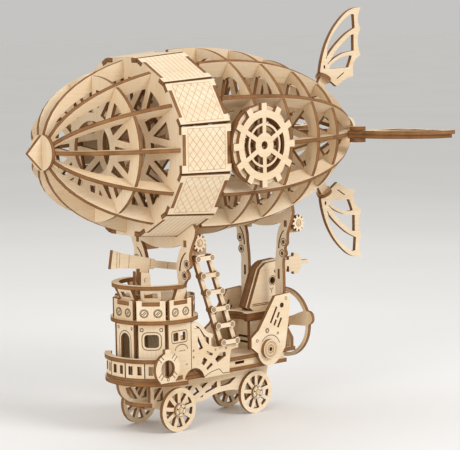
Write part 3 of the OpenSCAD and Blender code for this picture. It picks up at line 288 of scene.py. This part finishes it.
# %% Boards joined at an angle
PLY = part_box("lower_deck")[1].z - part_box("lower_deck")[0].z
HAIR = 1e-5              # a hair's breadth, so that a triangle right on a border counts
POST_FOOT = 2.1 * PLY    # the spigot and round foot of the telescope's post lie flat up to this height
SEAT_CHEEK_Y = 0.00774   # the cheeks of the seat are further out than this
BOW_TURNS = [math.radians(180 + a) for a in (-44.5, -25, 0, 25, 44.5)]
BOW_WAYS = [Vector((math.cos(t), math.sin(t), 0)) for t in BOW_TURNS]
tower = middle_of("tower_floor")
nose_disc_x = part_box("nose_cap")[1].x - PLY - HAIR
tail_disc_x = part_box("tail_cap")[0].x + PLY + HAIR
post_foot_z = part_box("telescope_post")[0].z + POST_FOOT + HAIR
seat_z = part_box("seat")[1].z - 2 * PLY - HAIR
keel_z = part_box("bow_keel")[0].z + PLY + HAIR


def bow_panel(p):
    """The window panels stand round the tower: the panel nearest to a point gives the way it faces."""
    return max(BOW_WAYS, key=(p - tower).to_2d().to_3d().normalized().dot)


joined_ways = {
    "bow_windows": bow_panel,
    "nose_cap": lambda p: X if p.x > nose_disc_x else Y,
    "tail_cap": lambda p: X if p.x < tail_disc_x else Y,
    "telescope_post": lambda p: Z if p.z < post_foot_z else Y,
    "seat": lambda p: Z if p.z > seat_z else Y if abs(p.y) > SEAT_CHEEK_Y else X,
    "bow_keel": lambda p: Z if p.z < keel_z else Y,
}
print("boards joined at an angle:", len(joined_ways), "nodes; sheet", round(PLY * 1000, 2), "mm")

# %% [markdown]
# ## Boards
# A board could be painted in one colour, but then its cut edges would be as pale as its faces. So each node's mesh is
# copied, its loose triangles are joined, and every triangle is sorted: it belongs to a face if it looks along the
# board's own direction, and to a cut edge otherwise. The attributes that the finishes read are written here as well.

# %% Find the separate boards of a node
def islands(bm):
    seen = set()
    for start in bm.faces:
        if start in seen:
            continue
        seen.add(start)
        group, todo = [], [start]
        while todo:
            triangle = todo.pop()
            group.append(triangle)
            for side in triangle.edges:
                for other in side.link_faces:
                    if other not in seen:
                        seen.add(other)
                        todo.append(other)
        yield group


def way_on(node, group):
    """A function that gives the way a board faces at a place on it."""
    if node in joined_ways:
        return joined_ways[node]
    way = flat_ways[node]
    if callable(way):
        way = way(group)
    return lambda p: way


# %% [markdown]
# Each board then gets its own place in the noise and its own tone, so that no two boards look alike. Its thickness
# could be measured as a whole, but the triangles of a cut edge reach from face to face anyway, so the depth is measured
# on each triangle.

# %% Sort the triangles and make the pieces
MERGE = 1e-6                 # loose corners nearer than this are joined
FACE_COSINE = 0.8            # a triangle that looks this much along the board's direction is on a face
FACES_AHEAD = 0.7            # the grain runs along X, but up on a board that looks this much along X
THINNEST = 3e-4              # a triangle that spans less of the board's thickness shows no layers
CURVED = math.radians(32)    # triangles that meet at less than this are shaded as one curve
GRAIN_SPREAD = 3             # each board takes its grain from its own place in the noise, in metres
PLAIN_TONE = 0.4             # the darkest tone of an ordinary board

# Painted shade: the gear brackets and fin discs get a darker tone for the shade they sit in; the band gets the palest
PAINTED_SHADE_AND_SET_TONE = {"gear_brackets": 0.0, "fin_collars": 0.1, "band_panels": 1.0}


def board_piece(node):
    rng = random.Random(node)
    bm = bmesh.new()
    bm.from_mesh(nodes[node].data)
    bmesh.ops.remove_doubles(bm, verts=bm.verts, dist=MERGE)
    board = bm.loops.layers.float_vector.new("board")
    depth = bm.loops.layers.float.new("depth")
    tone = bm.loops.layers.float.new("tone")
    for group in islands(bm):
        shift = Vector((rng.random(), rng.random(), rng.random())) * GRAIN_SPREAD
        # Gear brackets and fin discs take a low tone as painted shade; every other board takes a random tone of its own
        board_tone_and_painted_shade = PAINTED_SHADE_AND_SET_TONE.get(node, PLAIN_TONE + (1 - PLAIN_TONE) * rng.random())
        way_at = way_on(node, group)
        for triangle in group:
            way = way_at(triangle.calc_center_median())
            along = X if abs(way.x) < FACES_AHEAD else Z
            along = (along - way * along.dot(way)).normalized()
            aside = way.cross(along)
            triangle.material_index = 0 if abs(triangle.normal.dot(way)) > FACE_COSINE else 1
            heights = [loop.vert.co.dot(way) for loop in triangle.loops]
            low, high = min(heights), max(heights)
            for loop, height in zip(triangle.loops, heights):
                p = loop.vert.co
                loop[board] = Vector((p.dot(along), p.dot(aside), height)) + shift
                loop[depth] = (height - low) / (high - low) if high - low > THINNEST else 0.5
                loop[tone] = board_tone_and_painted_shade
            triangle.smooth = True
    for side in bm.edges:
        side.smooth = side.is_manifold and side.calc_face_angle() < CURVED
    mesh = bpy.data.meshes.new(node + "_board")
    bm.to_mesh(mesh)
    bm.free()
    mesh.materials.append(face_finish)
    mesh.materials.append(edge_finish)
    piece = placed(node + "_board", mesh)
    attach(piece, body_of_node[node])
    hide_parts(node)
    return piece


boards = [board_piece(node) for node in (*flat_ways, *joined_ways)]
print("boards:", len(boards), "pieces,", sum(len(b.data.polygons) for b in boards), "triangles")

# %% [markdown]
# ## Dowels
# Axles, shaft and gear pins are turned round sticks, so they have no pale face and no scorched edge. New sticks could
# be made, but the nodes have the right shape: they keep their own meshes and only take the dowel's finish.

# %% Dowels
DOWELS = ("front_axle", "rear_axle", "propeller_shaft", "gear_pins")
for node in DOWELS:
    data = nodes[node].data
    data.materials.clear()
    data.materials.append(dowel_finish)
print("dowels:", ", ".join(DOWELS))

# %% [markdown]
# ## Burnt lines
# The laser also draws on the boards without cutting through: portholes, door frames, rivets, planks and diamonds. Such
# lines could be a texture, but then they would not be part of the model. Here each line is a path on its board, and one
# Geometry Nodes tree sweeps a thin thread of char along every path, sunk in the board so that it barely stands out.

# %% The tree that sweeps the char
THREAD_SIDES = 6


def sweep_tree():
    tree = bpy.data.node_groups.new("burnt_line_sweep", "GeometryNodeTree")
    for name, direction, kind in (("Paths", "INPUT", "Geometry"), ("Line Width", "INPUT", "Float"),
                                  ("Char", "INPUT", "Material"), ("Geometry", "OUTPUT", "Geometry")):
        tree.interface.new_socket(name, in_out=direction, socket_type="NodeSocket" + kind)
    new = tree.nodes.new
    start, end = new("NodeGroupInput"), new("NodeGroupOutput")
    half = new("ShaderNodeMath")
    half.operation = "MULTIPLY"
    half.inputs[1].default_value = 0.5
    thread = new("GeometryNodeCurvePrimitiveCircle")
    thread.inputs["Resolution"].default_value = THREAD_SIDES
    path, sweep = new("GeometryNodeMeshToCurve"), new("GeometryNodeCurveToMesh")
    sweep.inputs["Fill Caps"].default_value = True
    realize, paint = new("GeometryNodeRealizeInstances"), new("GeometryNodeSetMaterial")
    for giver, output, taker, socket in (
            (start, "Paths", path, "Mesh"),
            (start, "Line Width", half, 0),
            (half, 0, thread, "Radius"),
            (path, "Curve", sweep, "Curve"),
            (thread, "Curve", sweep, "Profile Curve"),
            (sweep, "Mesh", realize, "Geometry"),
            (realize, "Geometry", paint, "Geometry"),
            (start, "Char", paint, "Material"),
            (paint, "Geometry", end, "Geometry")):
        tree.links.new(giver.outputs[output], taker.inputs[socket])
    return tree


SWEEP = sweep_tree()
SOCKET = {s.name: s.identifier for s in SWEEP.interface.items_tree if s.in_out == "INPUT"}
print("sweep:", len(SWEEP.nodes), "nodes, inputs", list(SOCKET))

# %% [markdown]
# A drawing is a list of paths, each with its points and whether it is closed. Every line could be a piece of its own,
# but then there would be hundreds. So all the paths of a drawing become one mesh of edges, the tree sweeps them, and
# the result is kept as a plain mesh without its modifier, because that is what the export needs.

# %% Burn a drawing into one piece
MM = 1000  # drawings are in millimetres, the frame is in metres
BOLD_LINE = 0.54


def burnt(name, body, paths, width=BOLD_LINE, line=dark_line):
    points, edges = [], []
    for path, closed in paths:
        first, last = len(points), len(points) + len(path) - 1
        points += path
        edges += [(i, i + 1) for i in range(first, last)]
        if closed:
            edges.append((last, first))
    drawing = bpy.data.meshes.new(name)
    drawing.from_pydata(points, edges, [])
    piece = placed(name, drawing)
    modifier = piece.modifiers.new("sweep", "NODES")
    modifier.node_group = SWEEP
    modifier[SOCKET["Line Width"]] = width / MM
    modifier[SOCKET["Char"]] = line
    depsgraph = bpy.context.evaluated_depsgraph_get()
    solid = bpy.data.meshes.new_from_object(piece.evaluated_get(depsgraph))
    piece.modifiers.remove(modifier)
    piece.data = solid
    bpy.data.meshes.remove(drawing)
    for side in solid.polygons:
        side.use_smooth = True
    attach(piece, body)
    print(name, len(paths), "lines,", len(solid.polygons), "faces")


# %% [markdown]
# A drawing could be written in the frame's three directions, but on a flat board it is easier in two. So a sheet stands
# for the outer face of a board: it has an origin, a direction across and a direction up, and turns flat drawings into
# points in the frame, a little under the face.

# %% Draw on a board
SUNK = 0.11


def half_round(a, b, w, h):
    """Half an ellipse from left to right over the top."""
    return [(a - w * math.cos(t), b + h * math.sin(t)) for t in (math.radians(15 * i) for i in range(13))]


class Sheet:
    """A board's outer face. All sizes are in millimetres: a runs across, b runs up."""

    def __init__(self, origin, across, up):
        self.across, self.up = across.normalized(), up.normalized()
        self.origin = origin - self.across.cross(self.up) * SUNK / MM

    def at(self, a, b):
        return self.origin + (self.across * a + self.up * b) / MM

    def line(self, *points):
        return [self.at(*p) for p in points], False

    def ring(self, a, b, r, steps=18):
        turns = [2 * math.pi * i / steps for i in range(steps)]
        return [self.at(a + r * math.cos(t), b + r * math.sin(t)) for t in turns], True

    def window(self, a, b, w, h, r):
        """A rectangle round (a, b) with rounded corners."""
        right, top = w / 2 - r, h / 2 - r
        points = []
        for ca, cb, start in ((right, top, 0), (-right, top, 90), (-right, -top, 180), (right, -top, 270)):
            for t in (math.radians(start + 22.5 * i) for i in range(5)):
                points.append(self.at(a + ca + r * math.cos(t), b + cb + r * math.sin(t)))
        return points, True

    def arch(self, a, b, w, h):
        """A doorway whose sill is centred on (a, b)."""
        r = w / 2
        return self.line((a - r, b), *half_round(a, b + h - r, r, r), (a + r, b))


def side_sheet(side, x, y, z):
    """A wall that faces the near or the far side."""
    return Sheet(Vector((x, y, z)), -side * X, Z)


def octagon_sheet(k, reach, z):
    """Panel k of the eight round the tower: 0 faces ahead, 2 the near side, 4 back and 6 the far side."""
    t = math.radians(180 + 45 * k)
    out = Vector((math.cos(t), math.sin(t), 0))
    return Sheet(Vector((tower.x, tower.y, z)) + out * reach, Vector((-out.y, out.x, 0)), Z)


# %% [markdown]
# ### Portholes on the tower
# Each of the tower's eight panels has two burnt portholes: two rings with a slanted slot in the middle, like the head
# of a screw. Rings of real wood would stand out too far, so they are drawn.

# %% Portholes
PORTHOLE_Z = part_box("tower_panels")[0].z
TOWER_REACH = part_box("tower_panels")[1].x - tower.x
PORTHOLE_A, PORTHOLE_B, SLOT, SLOT_GAP = 4.2, 4.4, 0.9, 0.3
PORTHOLE_LINE = 0.52
portholes = []
for k in range(8):
    panel = octagon_sheet(k, TOWER_REACH, PORTHOLE_Z)
    for a in (-PORTHOLE_A, PORTHOLE_A):
        portholes += [panel.ring(a, PORTHOLE_B, r) for r in (2.55, 1.95)]
        portholes += [panel.line((a - SLOT + d, PORTHOLE_B - SLOT - d), (a + SLOT + d, PORTHOLE_B + SLOT - d))
                      for d in (-SLOT_GAP, SLOT_GAP)]
burnt("porthole_lines", "airship", portholes, PORTHOLE_LINE)

# %% [markdown]
# ### Wheelhouse
# The panels ahead and back have a doorway with a line round it, the four corner panels have a window in a rounded
# frame, and the side panels have a wide window with a small curved roof and a few strokes of grain under it. The
# openings are cut in the solids, so only the lines round them are drawn.

# %% Doors, windows and rivets of the wheelhouse
FLOOR_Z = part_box("upper_deck")[1].z
HOUSE_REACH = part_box("wheelhouse_panels")[1].x - tower.x
DOOR_PANELS, FRONT_PANELS, BACK_PANELS = (0, 4), (1, 7), (3, 5)
WINDOW_B = 21.83
house_lines = []
for k in DOOR_PANELS:
    panel = octagon_sheet(k, HOUSE_REACH, FLOOR_Z)
    house_lines.append(panel.arch(0, 2.4, 10.8, 25.2))
    house_lines += [panel.window(a, 29.2, 1.0, 1.6, 0.4) for a in (-6.2, 6.2)]
for k in FRONT_PANELS:
    panel = octagon_sheet(k, HOUSE_REACH, FLOOR_Z)
    house_lines.append(panel.window(0, WINDOW_B, 11.8, 10.8, 3.2))
    house_lines += [panel.window(a, 28.8, 1.8, 1.8, 0.5) for a in (-6, 6)]
for k in BACK_PANELS:
    house_lines.append(octagon_sheet(k, HOUSE_REACH, FLOOR_Z).window(0, WINDOW_B, 10.6, 10.2, 3.0))
for side in (NEAR, FAR):
    panel = side_sheet(side, tower.x, side * HOUSE_REACH, FLOOR_Z)
    aft = -side  # a distance towards the tail, times this, is a distance across the sheet
    house_lines.append(panel.window(-0.3 * aft, 23.5, 12.4, 7.4, 1.6))
    house_lines.append(panel.line(*half_round(aft * 1.2, 15.2, 5, 3.4)))
    house_lines += [panel.line((aft * x, 14.4), (aft * x + 0.7, 14.9)) for x in (-0.4, 0.9, 2.2, 3.5)]
    house_lines += [panel.line((aft * x, z), (aft * x + 1.6, z + 0.5)) for x, z in ((-3.6, 6.2), (4.6, 5.4))]
burnt("wheelhouse_lines", "airship", house_lines)

# %% [markdown]
# ### Side walls, rear housings and boiler
# These boards carry a stepped groove, rivets, small dials and a pair of seams. They are the same on both sides, so each
# list of places is written once, as distances towards the tail and up, and drawn on the near and the far side.

# %% Lines of the side walls, housings and boiler
HOOK = 0.003  # the band's panels reach this far past its front ring
BAND_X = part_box("band_panels")[0].x + HOOK
REAR_X = middle_of("rear_saddle").x
DECK_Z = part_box("lower_deck")[0].z
SEAT_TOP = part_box("seat")[1].z
WALL_GROOVE = ((29.2, 6.5), (32.4, 6.6), (38.3, 0.5), (44.8, 3.1), (51.4, 4.2), (54.8, 0.9), (59.5, 0.9))
WALL_RIVETS = ((30.3, 18.3), (30.3, 14.2), (48.6, 16.6), (57.5, 16.4))
HOUSING_RINGS = ((-19.6, 23.0, 1.5), (-19.6, 23.0, 0.85), (-6.4, 37.9, 1.5), (-6.4, 37.9, 1.1), (-6.4, 37.9, 0.7),
                 (-6.4, 37.9, 0.3), (-2.6, 42.0, 0.9), (-28.5, 17.5, 0.9), (-10.2, 20.2, 0.7))
ARC_X, ARC_Z, ARC_R = -17.2, 10.8, 9
ARC_TURNS = [math.radians(20 + 10 * i) for i in range(13)]
HOUSING_ARC = [(ARC_X + ARC_R * math.cos(t), ARC_Z + ARC_R * math.sin(t)) for t in ARC_TURNS]
BOILER_RINGS = ((3.6, 18.1, 3.1, 18), (6.1, 23.9, 0.9, 10), (6.1, 23.9, 0.45, 8))
BOILER_LINES = (((1.2, 13.4), (2.7, 12), (4.2, 13.4)), ((2.7, 12), (2.7, 10)),
                ((-14.6, 3.2), (8, 3.2)), ((-14.6, 4.2), (8.4, 4.2)))
wall_lines = []
for side in (NEAR, FAR):
    aft = -side
    wall = side_sheet(side, BAND_X, side * HOUSE_REACH, DECK_Z)
    housing = side_sheet(side, REAR_X, side * HOUSE_REACH, DECK_Z)
    boiler = side_sheet(side, REAR_X, side * 2 * PLY, SEAT_TOP)
    wall_lines.append(wall.line(*[(aft * x, z) for x, z in WALL_GROOVE]))
    wall_lines += [wall.ring(aft * x, z, 0.55, 8) for x, z in WALL_RIVETS]
    wall_lines += [housing.ring(aft * x, z, r, 14) for x, z, r in HOUSING_RINGS]
    wall_lines.append(housing.line(*[(aft * x, z) for x, z in HOUSING_ARC]))
    wall_lines += [boiler.ring(aft * x, z, r, steps) for x, z, r, steps in BOILER_RINGS]
    wall_lines += [boiler.line(*[(aft * x, z) for x, z in points]) for points in BOILER_LINES]
burnt("side_wall_lines", "airship", wall_lines)

# %% [markdown]
# ### Ladder, saddle eyes and lifebuoy
# The ends of the ladder's rungs are round bosses with two rings, every eye in the saddles' legs has a ring round it,
# and the lifebuoy has four lashings. The places could be typed again as numbers, but they come from the nodes' boxes
# and from the record's mounts, so the rings stay round their holes.

# %% Trim
RUNGS = 6
BOSS_R, LADDER_W = 0.0022, 0.0115  # radius of a rung's end, distance between the two rails
BUOY_R = 0.0096
LASHING_IN, LASHING_OUT, LASHING_HALF = 5.8, 9.2, 1.2
trim_lines = []
rung_low, rung_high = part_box("ladder_rungs")
climb = Vector((rung_high.x - rung_low.x - 2 * BOSS_R - LADDER_W, 0, 2 * BOSS_R - rung_high.z + rung_low.z))
top_rung = Vector((rung_low.x + BOSS_R, rung_low.y, rung_high.z - BOSS_R))
for i in range(RUNGS):
    for dx in (0, LADDER_W):
        boss = Sheet(top_rung + climb * (i / (RUNGS - 1)) + X * dx, X, Z)
        trim_lines += [boss.ring(0, 0, 1.35, 12), boss.ring(0, 0, 0.6, 8)]
for mount in frame["record"]["mounts"]:
    if mount["kind"] == "bore":
        p = Vector(mount["pos_m"])
        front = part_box("front_saddle" if p.x < 0 else "rear_saddle")[0].x
        trim_lines.append(Sheet(Vector((front, p.y, p.z)), -Y, Z).ring(0, 0, 2.35, 16))
buoy_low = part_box("lifebuoy")[0]
buoy = Sheet(Vector((middle_of("lifebuoy").x, buoy_low.y, buoy_low.z + BUOY_R)), X, Z)
for t in (math.radians(a) for a in (45, 135, 225, 315)):
    c, s = math.cos(t), math.sin(t)
    for d in (-LASHING_HALF, LASHING_HALF):
        trim_lines.append(buoy.line(*[(r * c - d * s, r * s + d * c) for r in (LASHING_IN, LASHING_OUT)]))
trim_lines.append(buoy.ring(0, -7.6, 0.9, 10))
burnt("trim_lines", "airship", trim_lines)

# %% [markdown]
# ### Discs, wheels and gears
# The round pieces have rings about their middle, on the face that looks away from the model. A wheel's and a gear's
# rings have to turn with them, so each drawing rides on the body of its own node.

# %% Rings on the round pieces
DISC_LINE, HUB_LINE = 0.46, 0.44


def rings_on(node, sides, rings):
    low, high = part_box(node)
    middle = (low + high) / 2
    plates = [side_sheet(side, middle.x, high.y if side == FAR else low.y, middle.z) for side in sides]
    return [plate.ring(0, 0, r, steps) for plate in plates for r, steps in rings]


disc_lines = rings_on("housing_discs", (NEAR, FAR), [(r, 28) for r in (5.0, 4.2, 2.8, 2.2)])
burnt("disc_lines", "airship", disc_lines, DISC_LINE, soft_line)
for node in WHEELS:
    burnt(node + "_lines", body_of_node[node], rings_on(node, (NEAR, FAR), [(3.9, 24), (2.0, 16)]), HUB_LINE)
for node in GEARS:
    own_side = NEAR if middle_of(node).y < 0 else FAR
    burnt(node + "_lines", body_of_node[node], rings_on(node, (own_side,), [(2.1, 16)]), HUB_LINE)

# %% [markdown]
# ### Bands round the telescope
# The telescope is one board with the outline of a tube, and short lines across it stand for the bands of its tubes. The
# outline steps in and out, so the length of each line is measured on the board's own face, where the band is.

# %% Telescope bands
TUBE_BANDS = (-10.7, -8.6, -1.2, 15.7, 30.0)
TUBE_LEAN, TUBE_INSET, TUBE_LINE = 0.35, 0.3, 0.46
SQUARE_ON = 0.9  # a triangle that looks this much along a direction is on the face that is meant


def face_span(node, side, face_y, x):
    """Lowest and highest point of a node's face on one side, at a place along X."""
    mesh = nodes[node].data
    heights = []
    for polygon in mesh.polygons:
        if polygon.normal.y * side > SQUARE_ON and abs(polygon.center.y - face_y) < HAIR:
            loop = [mesh.vertices[i].co for i in polygon.vertices]
            for p, q in zip(loop, loop[1:] + loop[:1]):
                if (p.x - x) * (q.x - x) < 0:
                    heights.append(p.z + (q.z - p.z) * (x - p.x) / (q.x - p.x))
    return min(heights) * MM, max(heights) * MM


bands = []
for side in (NEAR, FAR):
    face_y = side * PLY / 2
    lean = -side * TUBE_LEAN
    for x in (BAND_X + place / MM for place in TUBE_BANDS):
        low, high = face_span("telescope", side, face_y, x)
        bands.append(side_sheet(side, x, face_y, 0).line((-lean, low + TUBE_INSET), (lean, high - TUBE_INSET)))
burnt("telescope_lines", body_of_node["telescope"], bands, TUBE_LINE, soft_line)

# %% [markdown]
# ### Diamonds and planks on the band
# Twelve flat panels form a band round the envelope. They lean a little, because the envelope grows towards its middle.
# The lean could be typed in, but it is measured on the top panel's outer face, so the lines lie on the panels.

# %% The lean of the panels
BAND_W = 30.9
top_faces = [f for f in nodes["band_panels"].data.polygons if f.normal.z > SQUARE_ON and f.center.z > AXIS_Z]
top_face = max(top_faces, key=lambda f: f.area)


def band_radius(x):
    """Distance of the top panel's outer face from the axis at a place along it, in millimetres."""
    c, n = top_face.center, top_face.normal
    return (c.z - n.x / n.z * (x - c.x) - AXIS_Z) * MM


FRONT_R, BACK_R = band_radius(BAND_X), band_radius(BAND_X + BAND_W / MM)
panel_lean = math.atan2(BACK_R - FRONT_R, BAND_W)
print("band: outer faces from", round(FRONT_R, 2), "to", round(BACK_R, 2), "mm off the axis")

# %% [markdown]
# Three panels on each side carry a faint lattice of diamonds, the others carry planks that run round the envelope. The
# lattice could be a pattern that the panel's outline clips, but lines are simpler: each slanted line is cut to the
# panel before it is drawn.

# %% Lattice and planks
PANELS = 12
PANEL_HALF, MARGIN = 12.4, 1.6
DIAMOND_STEP, DIAMOND_SLOPE, SHORTEST = 5.0, 1.15, 0.5
PLANK_PLACES = [2.2 + 3.3 * i for i in range(9)]
PLANK_HALF = PANEL_HALF + 0.6
BAND_LINE = 0.42


def diamond_line(a, slope):
    """The ends of a slanted line through (a, 0), cut to the panel, or nothing if too little is left."""
    reach = PANEL_HALF / abs(slope)
    start, stop = max(MARGIN - a, -reach), min(BAND_W - MARGIN - a, reach)
    return [(a + t, t * slope) for t in (start, stop)] if stop - start > SHORTEST else None


slants = [diamond_line(BAND_W / 2 + i * DIAMOND_STEP, slope)
          for i in range(-12, 13) for slope in (DIAMOND_SLOPE, -DIAMOND_SLOPE)]
lattice, planks = [], []
for k in range(PANELS):
    t = 2 * math.pi * k / PANELS
    out = Vector((0, -math.sin(t), math.cos(t)))
    run = X * math.cos(panel_lean) + out * math.sin(panel_lean)
    aside = (out * math.cos(panel_lean) - X * math.sin(panel_lean)).cross(run)
    panel = Sheet(Vector((BAND_X, 0, AXIS_Z)) + out * FRONT_R / MM, run, aside)
    if k % 6 in (2, 3, 4):  # the middle panels of the near and the far side
        lattice += [panel.line(*ends) for ends in slants if ends]
        lattice.append(panel.window(BAND_W / 2, 0, BAND_W - 2 * MARGIN, 2 * PANEL_HALF, 0.3))
    else:
        planks += [panel.line((a, -PLANK_HALF), (a, PLANK_HALF)) for a in PLANK_PLACES]
burnt("band_lattice", "airship", lattice, BAND_LINE, faint_line)
burnt("band_planks", "airship", planks, BAND_LINE, faint_line)

# %% [markdown]
# ## Floor
# The model stands on a plain pale floor. It could be a small table top, but an edge would show behind the model, so it
# is one wide plane with a very soft cloudiness.

# %% Floor
FLOOR_HALF = 18
cloudy = Finish("pale_floor", 0.9)
cloud = cloudy.noise(cloudy.place(), (3, 3, 3), detail=2)
floor_finish = cloudy.paint(cloudy.ramp(cloud, (0.3, (0.83, 0.827, 0.82)), (0.7, (0.86, 0.857, 0.85))))

bm = bmesh.new()
bmesh.ops.create_grid(bm, x_segments=2, y_segments=2, size=FLOOR_HALF)
floor_mesh = bpy.data.meshes.new("pale_floor")
bm.to_mesh(floor_mesh)
bm.free()
floor_mesh.materials.append(floor_finish)
floor_plane = placed("pale_floor", floor_mesh)
print("floor:", 2 * FLOOR_HALF, "m wide")

# %% [markdown]
# ## Light
# The light is that of a studio, soft and from several sides. The boards turned to the near side are the brightest, so
# the large key lamp stands on that side, high up. A weaker one fills the front, a third one shines from above on the
# far side, and the world gives the rest. A narrower spread keeps the lamps' light on the model, so the floor does not
# turn white.

# %% Lamps
AIM = Vector((0, 0, 0.13))
SPREAD = math.radians(100)


def lamp(name, place, size, power):
    light = bpy.data.lights.new(name, "AREA")
    light.shape = "DISK"
    light.size = size
    light.spread = SPREAD
    light.energy = power
    stand = placed(name, light)
    stand.location = place
    stand.rotation_euler = (AIM - Vector(place)).to_track_quat("-Z", "Y").to_euler()
    print(name, power, "W")


lamp("key_lamp", (0.35, -1.5, 1.15), 0.9, 5.2)
lamp("fill_lamp", (-1.7, -0.5, 0.6), 1.1, 3.1)
lamp("top_lamp", (0.1, 0.7, 1.7), 1.2, 1.7)

# %% [markdown]
# One brightness for the world would leave a line where it meets the floor. So the world has two: one as light on the
# model, and one for the rays that see it, as bright as the far end of the floor, so no horizon cuts through the
# picture.

# %% World
WORLD_LIGHT, WORLD_SEEN = 0.66, 0.56
world = bpy.data.worlds.new("studio")
bpy.context.scene.world = world
world.use_nodes = True
tree = world.node_tree
sky = tree.nodes["Background"]
sky.inputs["Color"].default_value = (1, 0.985, 0.96, 1)
rays = tree.nodes.new("ShaderNodeLightPath").outputs
seen = rays["Is Camera Ray"]
for kind in ("Is Glossy Ray", "Is Transmission Ray"):
    either = tree.nodes.new("ShaderNodeMath")
    either.operation = "MAXIMUM"
    tree.links.new(seen, either.inputs[0])
    tree.links.new(rays[kind], either.inputs[1])
    seen = either.outputs[0]
brightness = tree.nodes.new("ShaderNodeMapRange")
brightness.inputs["To Min"].default_value = WORLD_LIGHT
brightness.inputs["To Max"].default_value = WORLD_SEEN
tree.links.new(seen, brightness.inputs["Value"])
tree.links.new(brightness.outputs["Result"], sky.inputs["Strength"])
print("world: strength", WORLD_LIGHT, "as light,", WORLD_SEEN, "as seen")
